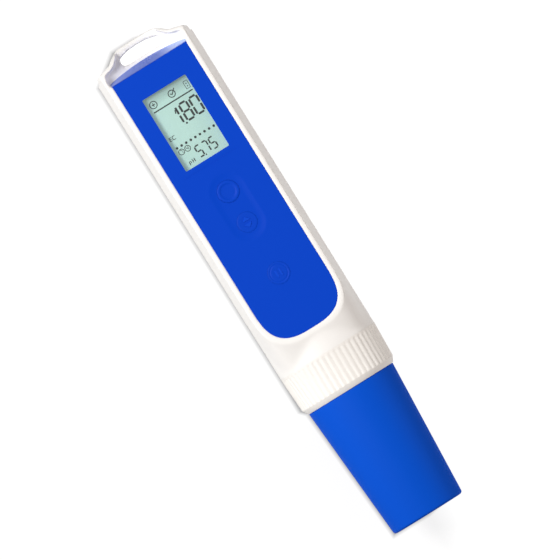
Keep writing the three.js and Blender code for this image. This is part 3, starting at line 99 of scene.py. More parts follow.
# Collar and probe
BORE_RADIUS = 12.7
COLLAR_END = -39.0
THREAD_ROOT = 15.3
THREAD_CREST = 15.8
THREAD_PITCH = 2.0
FLANGE_LOW = -27.6
FLANGE_HIGH = -24.5
FLANGE_RADIUS = 16.15
SLEEVE_RADIUS = 14.6
SLEEVE_TOP = -12.0
PROBE_END = -58.0
BOSS_RADIUS = 9.0
NECK_LOW = -53.5
NECK_HIGH = -41.8
NECK_RADIUS = 13.9
PROBE_FLANGE_RADIUS = 15.6
PROBE_FLANGE_HIGH = -39.3
STEM_RADIUS = 12.4
STEM_TOP = -14.0
SEAL_RADIUS = 0.9
NECK_SEAL = -47.65
LOWER_SEAL = -34.2
UPPER_SEAL = -28.2
GUARD_END = -85.5
GUARD_TOP = -53.6
GUARD_RADIUS = 10.4
GUARD_BORE = 9.3
SENSOR_TOP = -55.1
PIN_END = -78.0
BULB_CENTRE = -78.1
BULB_RADIUS = 3.9
BULB_NECK = 3.2
BULB_X = -4.4

# Cells
CELL_OFFSET = 5.4
CELL_Z = 9.2
CELL_LOW = 6.65
CELL_HIGH = 51.15

LOOP_SHARES = [(1, 0), (0.97, 0.12), (0.893, 0.262), (0.73, 0.4), (0.632, 0.477), (0.551, 0.662),
               (0.384, 0.938), (0.19, 0.985), (0, 1)]
SHELL_SCREWS = ("shell_screw_lower_left", "shell_screw_lower_right", "shell_screw_upper_left",
                "shell_screw_upper_right")
DOOR_SCREWS = ("door_screw_lower", "door_screw_upper")
SCOOP_SHARES = [(1, -0.2), (0.97, 0.08), (0.86, 0.2), (0.73, 0.29), (0.62, 0.52), (0.51, 0.83), (0.47, 1.2)]


# Making
def new_object(name, bm):
    mesh = bpy.data.meshes.new(name)
    bmesh.ops.recalc_face_normals(bm, faces=bm.faces)
    bm.to_mesh(mesh)
    bm.free()
    obj = bpy.data.objects.new(name, mesh)
    bpy.context.scene.collection.objects.link(obj)
    return obj


def settled(obj):
    """Applies the object's modifiers."""
    graph = bpy.context.evaluated_depsgraph_get()
    mesh = bpy.data.meshes.new_from_object(obj.evaluated_get(graph))
    obj.modifiers.clear()
    obj.data = mesh
    return obj


def carved(obj, *tools, operation="DIFFERENCE"):
    for tool in tools:
        cut = obj.modifiers.new("carve", "BOOLEAN")
        cut.operation = operation
        cut.solver = "EXACT"
        cut.object = tool
        settled(obj)
        bpy.data.objects.remove(tool)
    return obj


def kept(obj, *tools):
    return carved(obj, *tools, operation="INTERSECT")


def joined(obj, *tools):
    return carved(obj, *tools, operation="UNION")


def copied(obj):
    twin = obj.copy()
    twin.data = obj.data.copy()
    bpy.context.scene.collection.objects.link(twin)
    return twin


def lofted(loops, name="form"):
    """Solid from a capped circle that is extruded from one closed loop to the next."""
    bm = bmesh.new()
    ring = bmesh.ops.create_circle(bm, cap_ends=True, segments=len(loops[0]), radius=1)["verts"]
    for vert, point in zip(ring, loops[0]):
        vert.co = point
    face, first = bm.faces[:][0], True
    for loop in loops[1:]:
        order = {vert.co.to_tuple(5): i for i, vert in enumerate(ring)}
        made = bmesh.ops.extrude_face_region(bm, geom=[face])["geom"]
        if not first and face.is_valid:
            bmesh.ops.delete(bm, geom=[face], context="FACES_ONLY")
        face, first = [g for g in made if isinstance(g, bmesh.types.BMFace)][0], False
        verts = [g for g in made if isinstance(g, bmesh.types.BMVert)]
        ring = sorted(verts, key=lambda v: order[v.co.to_tuple(5)])
        for vert, point in zip(ring, loop):
            vert.co = point
    return new_object(name, bm)


def prism(outline, axis, low, high, name="form"):
    """Outline in the two other axes, run along X or Z."""
    if axis == "Z":
        return lofted([[Vector((a, b, level)) for a, b in outline] for level in (low, high)], name)
    return lofted([[Vector((level, a, b)) for a, b in outline] for level in (low, high)], name)


def block(low, high, name="form"):
    outline = [(low[0], low[1]), (high[0], low[1]), (high[0], high[1]), (low[0], high[1])]
    return prism(outline, "Z", low[2], high[2], name)


def spun(profile, name="form", steps=TURN_STEPS, centre=(0, AXIS)):
    """Profile of (radius, y) turned about a line along Y through centre (x, z)."""
    bm = bmesh.new()
    verts = [bm.verts.new((centre[0] + r, y, centre[1])) for r, y in profile]
    edges = [bm.edges.new(pair) for pair in zip(verts, verts[1:])]
    bmesh.ops.spin(bm, geom=verts + edges, cent=(centre[0], 0, centre[1]), axis=(0, 1, 0),
                   angle=2 * math.pi, steps=steps, use_merge=True)
    bmesh.ops.remove_doubles(bm, verts=bm.verts, dist=1e-4)
    return new_object(name, bm)


def spun_upright(profile, place, name="form", steps=TURN_STEPS):
    """Profile of (radius, z) turned about a line along Z through place (x, y)."""
    bm = bmesh.new()
    verts = [bm.verts.new((place[0] + r, place[1], z)) for r, z in profile]
    edges = [bm.edges.new(pair) for pair in zip(verts, verts[1:])]
    bmesh.ops.spin(bm, geom=verts + edges, cent=(place[0], place[1], 0), axis=(0, 0, 1),
                   angle=2 * math.pi, steps=steps, use_merge=True)
    bmesh.ops.remove_doubles(bm, verts=bm.verts, dist=1e-4)
    return new_object(name, bm)


def upright_rod(radius, place, low, high, steps=32):
    return spun_upright([(0, low), (radius, low), (radius, high), (0, high)], place, steps=steps)


def arc(x, y, radius_x, radius_y, start, end, steps=8):
    turn = [math.radians(start + (end - start) * i / steps) for i in range(steps + 1)]
    return [(x + radius_x * math.cos(t), y + radius_y * math.sin(t)) for t in turn]


def rounded_box(half, low, high, corner, steps=6):
    return (arc(half - corner, low + corner, corner, corner, -90, 0, steps)
            + arc(half - corner, high - corner, corner, corner, 0, 90, steps)
            + arc(corner - half, high - corner, corner, corner, 90, 180, steps)
            + arc(corner - half, low + corner, corner, corner, 180, 270, steps))


def smooth_line(points, steps):
    """Catmull-Rom line through the points."""
    line = []
    for i in range(len(points) - 1):
        p = [Vector(points[min(max(i + k, 0), len(points) - 1)]) for k in (-1, 0, 1, 2)]
        for j in range(steps):
            t = j / steps
            square = 2 * p[0] - 5 * p[1] + 4 * p[2] - p[3]
            cube = 3 * p[1] - p[0] - 3 * p[2] + p[3]
            line.append(tuple(0.5 * (2 * p[1] + (p[2] - p[0]) * t + square * t * t + cube * t ** 3)))
    line.append(tuple(points[-1]))
    return line


def mirrored(right):
    return right + [(-x, y) for x, y in reversed(right) if x > 1e-6]


def power_of(value, power):
    return math.copysign(abs(value) ** power, value)


def blended(a, b, share):
    return a + (b - a) * share


def bevelled(obj, width, segments=2, angle=35):
    edge = obj.modifiers.new("edge", "BEVEL")
    edge.width = width
    edge.segments = segments
    edge.limit_method = "ANGLE"
    edge.angle_limit = math.radians(angle)
    edge.use_clamp_overlap = True
    return settled(obj)


def softened(obj, voxel=VOXEL, rounds=6, share=None):
    """Moulded skin: an even mesh over the joined forms, its edges eased as a mould's are."""
    skin = obj.modifiers.new("skin", "REMESH")
    skin.mode = "VOXEL"
    skin.voxel_size = voxel
    skin.adaptivity = 0
    ease = obj.modifiers.new("ease", "SMOOTH")
    ease.factor = 0.5
    ease.iterations = rounds
    if share:
        thin = obj.modifiers.new("thin", "DECIMATE")
        thin.ratio = share
    return settled(obj)


def run_out(obj, rounds=60):
    """Eases the crease where the raised front runs out onto the barrel."""
    group = obj.vertex_groups.new(name="run")
    for vert in obj.data.vertices:
        x, y, z = vert.co
        if y < -14 and z > 22:
            bend = max(1 - abs(x / 16.4) ** 3, 0.02) ** (1 / 3)
            past = -(y - PANEL_LOW - PANEL_END) / bend - PANEL_END - 1.68
            weight = min((past - 0.8) / 1.5, 1) * min((-14 - y) / 3, 1) * min((z - 22) / 3, 1)
            if past > 0.8:
                group.add([vert.index], weight, "REPLACE")
    ease = obj.modifiers.new("run", "SMOOTH")
    ease.factor = 0.5
    ease.iterations = rounds
    ease.vertex_group = group.name
    return settled(obj)


def finished(obj, name, body, material, nodes=(), sharp=None, even=False):
    """Names the piece, puts it into metres, shades it and hands it to the frame."""
    obj.name = name
    obj.data.name = name
    obj.data.transform(Matrix.Scale(0.001, 4))
    obj.data.materials.clear()
    obj.data.materials.append(material)
    obj.data.shade_smooth()
    if sharp:
        obj.data.set_sharp_from_angle(angle=math.radians(sharp))
    if even:
        obj.modifiers.new("even", "WEIGHTED_NORMAL").keep_sharp = True
        settled(obj)
    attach(obj, body)
    if nodes:
        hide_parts(*nodes)
    return obj


# Finishes
def socket_group(name, inputs, outputs):
    group = bpy.data.node_groups.new(name, "ShaderNodeTree")
    for label, kind, value in inputs:
        made = group.interface.new_socket(name=label, in_out="INPUT", socket_type=kind)
        made.default_value = value
    for label, kind in outputs:
        group.interface.new_socket(name=label, in_out="OUTPUT", socket_type=kind)
    return group, group.nodes.new("NodeGroupInput"), group.nodes.new("NodeGroupOutput")


def maths(tree, operation, a, b):
    node = tree.nodes.new("ShaderNodeMath")
    node.operation = operation
    for socket, value in zip(node.inputs, (a, b)):
        if isinstance(value, (int, float)):
            socket.default_value = value
        else:
            tree.links.new(value, socket)
    return node.outputs[0]


def noise(tree, vector, scale, detail=3.0, roughness=0.55):
    node = tree.nodes.new("ShaderNodeTexNoise")
    node.inputs["Detail"].default_value = detail
    node.inputs["Roughness"].default_value = roughness
    tree.links.new(vector, node.inputs["Vector"])
    if isinstance(scale, (int, float)):
        node.inputs["Scale"].default_value = scale
    else:
        tree.links.new(scale, node.inputs["Scale"])
    return node.outputs["Fac"]


def moulded_surface():
    """Moulded finish: cloudy colour, fine spark grain in the relief and in the roughness."""
    group, enter, leave = socket_group(
        "moulded surface",
        [("Colour", "NodeSocketColor", (0.8, 0.8, 0.8, 1)), ("Shade", "NodeSocketColor", (0.7, 0.7, 0.7, 1)),
         ("Cloud Scale", "NodeSocketFloat", 40.0), ("Cloud Amount", "NodeSocketFloat", 0.2),
         ("Grain Scale", "NodeSocketFloat", 4000.0), ("Grain Height", "NodeSocketFloat", 0.00001),
         ("Roughness", "NodeSocketFloat", 0.45), ("Roughness Spread", "NodeSocketFloat", 0.1)],
        [("Colour", "NodeSocketColor"), ("Roughness", "NodeSocketFloat"), ("Normal", "NodeSocketVector")])
    where = group.nodes.new("ShaderNodeTexCoord").outputs["Object"]
    cloud = noise(group, where, enter.outputs["Cloud Scale"], 4)
    grain = noise(group, where, enter.outputs["Grain Scale"], 2)
    mix = group.nodes.new("ShaderNodeMix")
    mix.data_type = "RGBA"
    group.links.new(maths(group, "MULTIPLY", cloud, enter.outputs["Cloud Amount"]), mix.inputs["Factor"])
    group.links.new(enter.outputs["Colour"], mix.inputs["A"])
    group.links.new(enter.outputs["Shade"], mix.inputs["B"])
    spread = maths(group, "MULTIPLY", maths(group, "SUBTRACT", grain, 0.5), enter.outputs["Roughness Spread"])
    bump = group.nodes.new("ShaderNodeBump")
    bump.inputs["Strength"].default_value = 1.0
    group.links.new(enter.outputs["Grain Height"], bump.inputs["Distance"])
    group.links.new(grain, bump.inputs["Height"])
    group.links.new(mix.outputs["Result"], leave.inputs["Colour"])
    group.links.new(maths(group, "ADD", enter.outputs["Roughness"], spread), leave.inputs["Roughness"])
    group.links.new(bump.outputs["Normal"], leave.inputs["Normal"])
    return group


MOULDED = moulded_surface()


def linear(colour):
    """Screen colour 0 to 255 as a shader colour."""
    share = [c / 255 for c in colour]
    return [c / 12.92 if c <= 0.04045 else ((c + 0.055) / 1.055) ** 2.4 for c in share] + [1.0]


def moulded(name, colour, shade, roughness=0.45, cloud=(40, 0.2), grain=(4000, 0.00001), spread=0.1,
            specular=0.5, metallic=0.0, coat=0.0, alpha=1.0, transmission=0.0):
    material = bpy.data.materials.new(name)
    material.use_nodes = True
    tree = material.node_tree
    shader = tree.nodes["Principled BSDF"]
    skin = tree.nodes.new("ShaderNodeGroup")
    skin.node_tree = MOULDED
    skin.inputs["Colour"].default_value = linear(colour)
    skin.inputs["Shade"].default_value = linear(shade)
    skin.inputs["Cloud Scale"].default_value, skin.inputs["Cloud Amount"].default_value = cloud
    skin.inputs["Grain Scale"].default_value, skin.inputs["Grain Height"].default_value = grain
    skin.inputs["Roughness"].default_value = roughness
    skin.inputs["Roughness Spread"].default_value = spread
    tree.links.new(skin.outputs["Colour"], shader.inputs["Base Color"])
    tree.links.new(skin.outputs["Roughness"], shader.inputs["Roughness"])
    tree.links.new(skin.outputs["Normal"], shader.inputs["Normal"])
    shader.inputs["Specular IOR Level"].default_value = specular
    shader.inputs["Metallic"].default_value = metallic
    shader.inputs["Coat Weight"].default_value = coat
    shader.inputs["Alpha"].default_value = alpha
    shader.inputs["Transmission Weight"].default_value = transmission
    return material


white_plastic = moulded("white plastic", (248, 246, 243), (240, 237, 232), 0.42, specular=0.35)
ring_plastic = moulded("ring plastic", (247, 244, 239), (236, 231, 223), 0.48, specular=0.35)
blue_panel = moulded("blue panel", (3, 66, 196), (2, 63, 189), 0.4, specular=0.08)
blue_cap = moulded("blue cap", (3, 80, 203), (2, 77, 196), 0.65, cloud=(30, 0.25), specular=0.06)
blue_key = moulded("blue key rubber", (3, 66, 195), (2, 63, 188), 0.5, specular=0.08)
mark_blue = moulded("key mark", (5, 71, 203), (5, 67, 196), 0.5, specular=0.1)
clear_lens = moulded("clear lens", (244, 250, 250), (238, 246, 246), 0.06, grain=(900, 0.0), spread=0.0,
                     specular=0.25, alpha=0.03)
lcd_face = moulded("liquid crystal face", (156, 188, 180), (148, 181, 173), 0.35, cloud=(90, 0.5),
                   grain=(9000, 0.0), spread=0.02, specular=0.15)
lcd_ink = moulded("liquid crystal segment", (14, 22, 22), (20, 30, 29), 0.5, grain=(9000, 0.0), spread=0.02,
                  specular=0.1)
black_plastic = moulded("black plastic", (34, 35, 37), (26, 27, 29), 0.5, cloud=(60, 0.5),
                        grain=(3000, 0.00002))
black_rubber = moulded("black rubber", (27, 27, 28), (38, 38, 38), 0.75, cloud=(120, 0.5),
                       grain=(2500, 0.00003), specular=0.3)
board_green = moulded("board lacquer", (24, 92, 52), (18, 74, 40), 0.3, cloud=(400, 0.6),
                      grain=(1500, 0.00001))
bulb_glass = moulded("bulb glass", (236, 246, 246), (228, 242, 242), 0.04, grain=(900, 0.0), spread=0.0,
                     specular=0.5, alpha=0.35)
junction_ceramic = moulded("junction ceramic", (236, 231, 220), (216, 208, 192), 0.8, cloud=(900, 0.7),
                           grain=(3500, 0.00003), specular=0.3)
steel = moulded("machined steel", (196, 198, 201), (176, 178, 182), 0.3, cloud=(500, 0.5),
                grain=(5000, 0.000008), metallic=1.0)
nickel = moulded("nickel strip", (200, 198, 192), (178, 176, 170), 0.34, cloud=(300, 0.5),
                 grain=(4000, 0.00001), metallic=1.0)
cell_wrap = moulded("cell wrap", (46, 50, 56), (38, 42, 48), 0.3, grain=(2000, 0.000006), coat=0.3)
cell_band = moulded("cell band", (176, 132, 62), (160, 118, 52), 0.35, grain=(2000, 0.000006), metallic=0.6)


def tinted(material, group):
    """Puts a colour group between the finish and the shader."""
    tree = material.node_tree
    base = tree.nodes["Principled BSDF"].inputs["Base Color"]
    tint = tree.nodes.new("ShaderNodeGroup")
    tint.node_tree = group
    tree.links.new(base.links[0].from_socket, tint.inputs["Colour"])
    tree.links.new(tint.outputs["Colour"], base)
    return tint


def clamped(tree, value):
    return maths(tree, "MINIMUM", maths(tree, "MAXIMUM", value, 0.0), 1.0)


def colour_group(name, other):
    """Group that mixes its colour with another one; gives the tree, the split object place and the mix."""
    group, enter, leave = socket_group(
        name, [("Colour", "NodeSocketColor", (0.8, 0.8, 0.8, 1)), (other, "NodeSocketColor", (1, 1, 1, 1))],
        [("Colour", "NodeSocketColor")])
    where = group.nodes.new("ShaderNodeTexCoord").outputs["Object"]
    split = group.nodes.new("ShaderNodeSeparateXYZ")
    mix = group.nodes.new("ShaderNodeMix")
    mix.data_type = "RGBA"
    group.links.new(where, split.inputs[0])
    group.links.new(enter.outputs["Colour"], mix.inputs["A"])
    group.links.new(enter.outputs[other], mix.inputs["B"])
    group.links.new(mix.outputs["Result"], leave.inputs["Colour"])
    return group, where, split, mix


def painted_sheen_end():
    """Painted sheen on a sheet's turned-down end: a pale colour mixed in with depth below the front, more
    towards the sides and most on the right, standing in for the light that the steep end reflects.
    """
    group, where, split, mix = colour_group("painted sheen on sheet end", "Painted Sheen")
    far = maths(group, "GREATER_THAN", split.outputs["Y"], 0.08)
    depth = maths(group, "SUBTRACT", FRONT / 1000 - 0.0003, split.outputs["Z"])
    fade = clamped(group, maths(group, "MULTIPLY", depth, 1200.0))
    # Painted sheen grows towards both sides and more to the right, as if the end caught more light there.
    side = maths(group, "MULTIPLY", maths(group, "ABSOLUTE", split.outputs["X"], 0.0), 13.5)
    right = maths(group, "MAXIMUM", maths(group, "SUBTRACT", split.outputs["X"], 0.0045), 0.0)
    lean = maths(group, "MULTIPLY", right, 90.0)
    cloud = maths(group, "ADD", maths(group, "MULTIPLY", noise(group, where, 260, 3), 0.1), 0.27)
    share = clamped(group, maths(group, "ADD", cloud, maths(group, "ADD", side, lean)))
    face = maths(group, "MULTIPLY", far, fade)
    group.links.new(maths(group, "MULTIPLY", face, share), mix.inputs["Factor"])
    return group


def painted_display_shade():
    """Painted shade along the display's upper edge, where the window's frame shades it."""
    group, where, split, mix = colour_group("painted display shade", "Dim")
    past = maths(group, "SUBTRACT", split.outputs["Y"], 0.0705)
    rise = clamped(group, maths(group, "MULTIPLY", past, 240.0))
    group.links.new(maths(group, "MULTIPLY", rise, 0.9), mix.inputs["Factor"])
    return group


# Painted sheen on the panel's turned-down end, in pale blue.
tinted(blue_panel, painted_sheen_end()).inputs["Painted Sheen"].default_value = linear((186, 203, 252))
# Painted shade darkens the display's upper edge.
tinted(lcd_face, painted_display_shade()).inputs["Dim"].default_value = linear((92, 108, 103))
# The display face glows faintly as from its backlight; this glow is partly painted light that lifts the shade
# the window's edges cast on it.
lit = lcd_face.node_tree.nodes["Principled BSDF"]
lit.inputs["Emission Color"].default_value = linear((186, 222, 212))
lit.inputs["Emission Strength"].default_value = 0.285


# Housing form
def barrel_loop(y, blend, inset=0.0, depth=1.0, steps=TURN_STEPS):
    half = blended(COLLAR_RADIUS, HALF_WIDTH, blend) - inset
    bulge = (blended(COLLAR_RADIUS, BACK_DEPTH, blend) - inset) * depth
    power = 2 / blended(2, 2.5, blend)
    loop = []
    for i in range(steps):
        turn = 2 * math.pi * i / steps
        across, up = math.cos(turn), math.sin(turn)
        if i * 2 <= steps:
            loop.append(Vector((half * across, y, AXIS + (COLLAR_RADIUS - inset) * up)))
        else:
            loop.append(Vector((half * power_of(across, power), y, AXIS + bulge * power_of(up, power))))
    return loop


def barrel(inset=0.0, low=HOUSING_LOW - END_SPARE):
    loops = [barrel_loop(low, 0, inset)]
    for i in range(13):
        share = i / 12
        loops.append(barrel_loop(-21.6 + 20 * share, share * share * (3 - 2 * share), inset))
    shares = [math.sin(math.radians(turn)) for turn in (0, 10, 20, 30, 40, 50, 60, 68, 76)]
    tail = TAIL_END - TAIL_LENGTH
    for share in shares:
        loops.append(barrel_loop(tail + TAIL_LENGTH * share, 1, inset, math.sqrt(1 - share * share)))
    loops.append(barrel_loop(HOUSING_TOP + OVERRUN, 1, inset, math.sqrt(1 - shares[-1] ** 2)))
    return lofted(loops)


def panel_outline(half, top, longer=0.0, steps=40):
    end = PANEL_END + half - PANEL_HALF + longer
    centre = PANEL_LOW + PANEL_END
    points = []
    for i in range(steps + 1):
        turn = math.pi * (1 + i / steps)
        across, along = math.cos(turn), math.sin(turn)
        points.append((half * power_of(across, 2 / 3), centre + end * power_of(along, 2 / 3)))
    return points + [(half, top), (-half, top)]


def flared_outline(grow):
    wide = PANEL_HALF + 0.7 + grow
    far = HOUSING_TOP + OVERRUN
    flare = PANEL_TOP + 1.6
    outline = panel_outline(PANEL_HALF + grow, PANEL_TOP)
    return outline[:-1] + [(wide, flare), (wide, far), (-wide, far), (-wide, flare), outline[-1]]


def platform():
    """Raised front: side walls that lean in, and an end that runs out gently onto the barrel."""
    lean = SIDE_DRAFT / (FRONT - AXIS)
    edge = 0.3
    drops = [FRONT - AXIS, 13, 9, 6.5, 4.6, 3.2, 2.1, 1.3, 0.7]
    levels = [(drop, HALF_WIDTH - lean * (FRONT - drop - AXIS)) for drop in drops]
    for degrees in (0, 30, 60, 90):
        turn = math.radians(degrees)
        draw = edge * (1 - math.cos(turn))
        levels.append((edge * (1 - math.sin(turn)), HALF_WIDTH - lean * (FRONT - edge - AXIS) - draw))
    far = HOUSING_TOP + OVERRUN
    return lofted([[Vector((x, y, FRONT - drop)) for x, y in panel_outline(half, far, END_RAMP * drop)]
                   for drop, half in levels])


def loop_outline():
    shoulder = HOUSING_TOP - SHOULDER_RISE
    line = smooth_line([(a * HALF_WIDTH, shoulder + b * SHOULDER_RISE) for a, b in LOOP_SHARES], 6)
    return mirrored([(HALF_WIDTH, HOUSING_LOW - END_SPARE - OVERRUN)] + line)


def side_outline():
    low = HOUSING_LOW - END_SPARE
    return [(low, 0), (TAIL_END, 0), (TAIL_END, TAB_UNDER), (HOUSING_TOP - 0.5, TAB_UNDER),
            (HOUSING_TOP, TAB_UNDER + 0.5),
            *arc(HOUSING_TOP - 9.7, FRONT - 9.9, 9.7, 9.9, 0, 90, 16), (low, FRONT)]


def squared_end(obj):
    """Cuts the moulding square where the ring meets it."""
    bm = bmesh.new()
    bm.from_mesh(obj.data)
    everything = bm.verts[:] + bm.edges[:] + bm.faces[:]
    cut = bmesh.ops.bisect_plane(bm, geom=everything, plane_co=(0, HOUSING_LOW, 0), plane_no=(0, -1, 0),
                                 clear_outer=True)["geom_cut"]
    bmesh.ops.edgenet_fill(bm, edges=[g for g in cut if isinstance(g, bmesh.types.BMEdge)])
    bm.to_mesh(obj.data)
    bm.free()
    return obj


def lean_y(z, shift=0.0):
    return PANEL_TOP + (FRONT - z) * SCOOP_LEAN + shift


def scoop_drum(lift=0.0):
    radius = SCOOP_RADIUS - lift
    centre = FRONT - SCOOP_DEPTH + SCOOP_RADIUS
    low, high = HOUSING_LOW - WALL_CLEAR, HOUSING_TOP + WALL_CLEAR
    return spun([(0, low), (radius, low), (radius, high), (0, high)], centre=(0, centre), steps=256)


def scoop():
    low, high, far = FRONT - SCOOP_DEPTH - OVERRUN, FRONT + OVERRUN, HOUSING_TOP + OVERRUN
    side = [(lean_y(low), low), (far, low), (far, high), (lean_y(high), high)]
    lean = prism(side, "X", -HALF_WIDTH, HALF_WIDTH)
    shoulder = HOUSING_TOP - SHOULDER_RISE
    half = HALF_WIDTH - SIDE_DRAFT - 1.15
    line = smooth_line([(a * half, shoulder + b * SHOULDER_RISE) for a, b in SCOOP_SHARES], 6)
    return kept(lean, prism(mirrored([(half, PANEL_TOP - OVERRUN)] + line), "Z", low, high), scoop_drum())


def lanyard_slot():
    low, height, half, crown, corner = 87.5, 4.4, 7.8, 0.9, 1.4
    high = low + height - crown
    right = (arc(half - corner, low + corner, corner, corner, -90, 0, 6)
             + arc(half - corner, high - corner, corner, corner, 0, 60, 4)
             + [(half / 2, low + height - crown / 4), (0, low + height)])
    return prism(mirrored(right), "Z", -OVERRUN, FRONT + OVERRUN)


def housing_form():
    form = joined(barrel(), platform())
    form = kept(form, prism(loop_outline(), "Z", -OVERRUN, FRONT + OVERRUN),
                prism(side_outline(), "X", -HALF_WIDTH - OVERRUN, HALF_WIDTH + OVERRUN))
    return carved(form, scoop(), lanyard_slot())


def panel_band(under, shift_in, shift_out, high):
    bottom = FRONT - SCOOP_DEPTH - OVERRUN
    inner = [(HOUSING_LOW, under), (lean_y(under, -shift_in), under), (lean_y(bottom, -shift_in), bottom)]
    outer = [(lean_y(bottom, shift_out), bottom), (lean_y(high, shift_out), high), (HOUSING_LOW, high)]
    return prism(inner + outer, "X", -HALF_WIDTH, HALF_WIDTH)


collar_room = spun([(0, -40), (15.75, -40), (15.75, FLANGE_LOW - 0.1),
                    (FLANGE_RADIUS + 0.1, FLANGE_LOW - 0.1), (FLANGE_RADIUS + 0.1, FLANGE_HIGH + 0.1),
                    (SLEEVE_RADIUS + 0.1, FLANGE_HIGH + 0.1),
                    (SLEEVE_RADIUS + 0.1, SLEEVE_TOP + 0.1), (0, SLEEVE_TOP + 0.1)])
whole = carved(housing_form(), collar_room)
wide_low = (-30, HOUSING_LOW - WALL_CLEAR, -5)
wide_high = (30, HOUSING_TOP + WALL_CLEAR, 50)

front = kept(copied(whole), block((wide_low[0], wide_low[1], AXIS), wide_high))
pocket = kept(panel_band(FRONT - PANEL_THICKNESS, PANEL_THICKNESS + 0.3, OVERRUN, FRONT + OVERRUN),
              prism(flared_outline(-0.05), "Z", FRONT - SCOOP_DEPTH - OVERRUN, FRONT + OVERRUN), scoop_drum())
carved(front, pocket, prism(rounded_box(10.2, 44.3, 77, 0.8), "Z", 29, FRONT + OVERRUN),
       *[upright_rod(radius, (0, y), 30, FRONT + OVERRUN)
         for radius, y in ((4.15, POWER_Y), (3.8, MODE_Y), (4.15, HOLD_Y))])
front = squared_end(run_out(softened(front)))
finished(front, "front_moulding", "housing", white_plastic, ["front_shell"], sharp=60)


def door_prism(grow, low=-OVERRUN, high=AXIS):
    return prism(rounded_box(DOOR_HALF + grow, DOOR_LOW - grow, DOOR_HIGH + grow, 4 + grow), "Z", low, high)


def middles(nodes):
    """Middle (x, y) of each CAD node."""
    boxes = [[c * 1000 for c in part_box(node)] for node in nodes]
    return [tuple(((low + high) / 2)[:2]) for low, high in boxes]


rear = kept(copied(whole), block(wide_low, (wide_high[0], wide_high[1], AXIS)))
carved(rear, carved(door_prism(0.3), barrel(3.1)), door_prism(-1.4, high=AXIS - 1),
       block((-12.4, 2.9, 4.6), (12.4, 54.9, AXIS - 1)),
       *[upright_rod(2.1, place, -OVERRUN, 13.6) for place in middles(SHELL_SCREWS)])
bpy.data.objects.remove(whole)
rear = squared_end(softened(rear))
finished(rear, "rear_moulding", "housing", white_plastic, ["rear_shell"], sharp=60)

# Battery door
door = kept(door_prism(0.15), carved(barrel(), barrel(2.0)),
            prism(side_outline(), "X", -HALF_WIDTH - OVERRUN, HALF_WIDTH + OVERRUN))
carved(door, *[upright_rod(2.1, place, -OVERRUN, 1.4) for place in middles(DOOR_SCREWS)])
bevelled(door, 0.25)
finished(door, "door_moulding", "battery_door", white_plastic, ["battery_door"],
         sharp=40, even=True)

# Panel
panel = kept(panel_band(FRONT - PANEL_THICKNESS, PANEL_THICKNESS, 0, FRONT),
             prism(flared_outline(PANEL_FIT), "Z", FRONT - SCOOP_DEPTH - OVERRUN, FRONT + OVERRUN),
             scoop_drum(0.1))


def dish_outline(grow):
    return rounded_box(6.5 + grow, MODE_Y - 6.5 - grow, POWER_Y + 6.4 + grow, 6.3 + grow, 12)


dish = lofted([[Vector((x, y, FRONT - drop)) for x, y in dish_outline(grow)]
               for drop, grow in ((DISH_DEPTH, -2.4), (0.2, -1.5), (0.06, -0.5), (-0.02, 0.3))])
carved(panel, prism(rounded_box(WINDOW_HALF, WINDOW_LOW, WINDOW_HIGH, 0.4), "Z", 34, FRONT + OVERRUN), dish,
       *[upright_rod(radius, (0, y), 30, FRONT + OVERRUN, steps=64)
         for radius, y in ((3.89, POWER_Y), (3.53, MODE_Y), (3.88, HOLD_Y))])
carved(panel, block((-10.4, 44.4, FRONT - 0.09), (10.4, 44.66, FRONT + OVERRUN)),
       *[spun([(0, 84), (0.42, 84), (0.42, 87), (0, 87)], centre=(x, 32.9), steps=24) for x in (-1.0, 1.05)])
bevelled(panel, 0.07)
finished(panel, "panel_plate", "housing", blue_panel, ["face_panel"], sharp=50, even=True)


# Keys
def key_top(name, y, radius, profile, body):
    base = [(0, 32.8), (1.6, 32.8), (1.6, 33.8), (radius + 0.9, 33.8), (radius + 0.9, 34.6), (radius, 34.6)]
    key = spun_upright(base + profile, (0, y), steps=72)
    return finished(key, name, body, blue_key, [body], sharp=50, even=True)


dish_floor = FRONT - DISH_DEPTH
key_top("power_button", POWER_Y, 3.85,
        [(radius, dish_floor + rise) for radius, rise in
         ((3.85, -0.02), (3.79, 0.05), (3.6, 0.14), (3.3, 0.19), (2.95, 0.18), (2.7, 0.1), (2.55, -0.01),
          (2.3, -0.04), (1.9, -0.04), (0, -0.04))], "power_key")
key_top("mode_button", MODE_Y, 3.5,
        [(3.5, dish_floor - 0.03), (3.47, dish_floor), (3.1, dish_floor), (0, dish_floor)], "mode_key")
key_top("hold_button", HOLD_Y, 3.85,
        [(3.85, FRONT - 0.04), (3.8, FRONT), (3.2, FRONT), (3.1, FRONT - 0.07), (2.95, FRONT - 0.07),
         (2.85, FRONT), (2.5, FRONT), (0, FRONT)], "hold_key")


def raised_mark(name, outlines, low, high, body):
    parts = [prism(outline, "Z", low, high) for outline in outlines]
    mark = joined(parts[0], *parts[1:])
    bevelled(mark, 0.07, 1)
    return finished(mark, name, body, mark_blue, sharp=40)


raised_mark("mode_mark", [[(-1.5, MODE_Y + 0.45), (1.5, MODE_Y + 0.45), (0, MODE_Y + 2.05)],
                          [(-1.5, MODE_Y - 0.45), (0, MODE_Y - 2.05), (1.5, MODE_Y - 0.45)]],
            dish_floor - 0.1, dish_floor + 0.22, "mode_key")
raised_mark("hold_mark", [[(left, HOLD_Y - 1.3), (left + 0.75, HOLD_Y - 1.3), (left + 0.75, HOLD_Y + 1.3),
                           (left, HOLD_Y + 1.3)] for left in (-1.15, 0.4)],
            FRONT - 0.1, FRONT + 0.12, "hold_key")

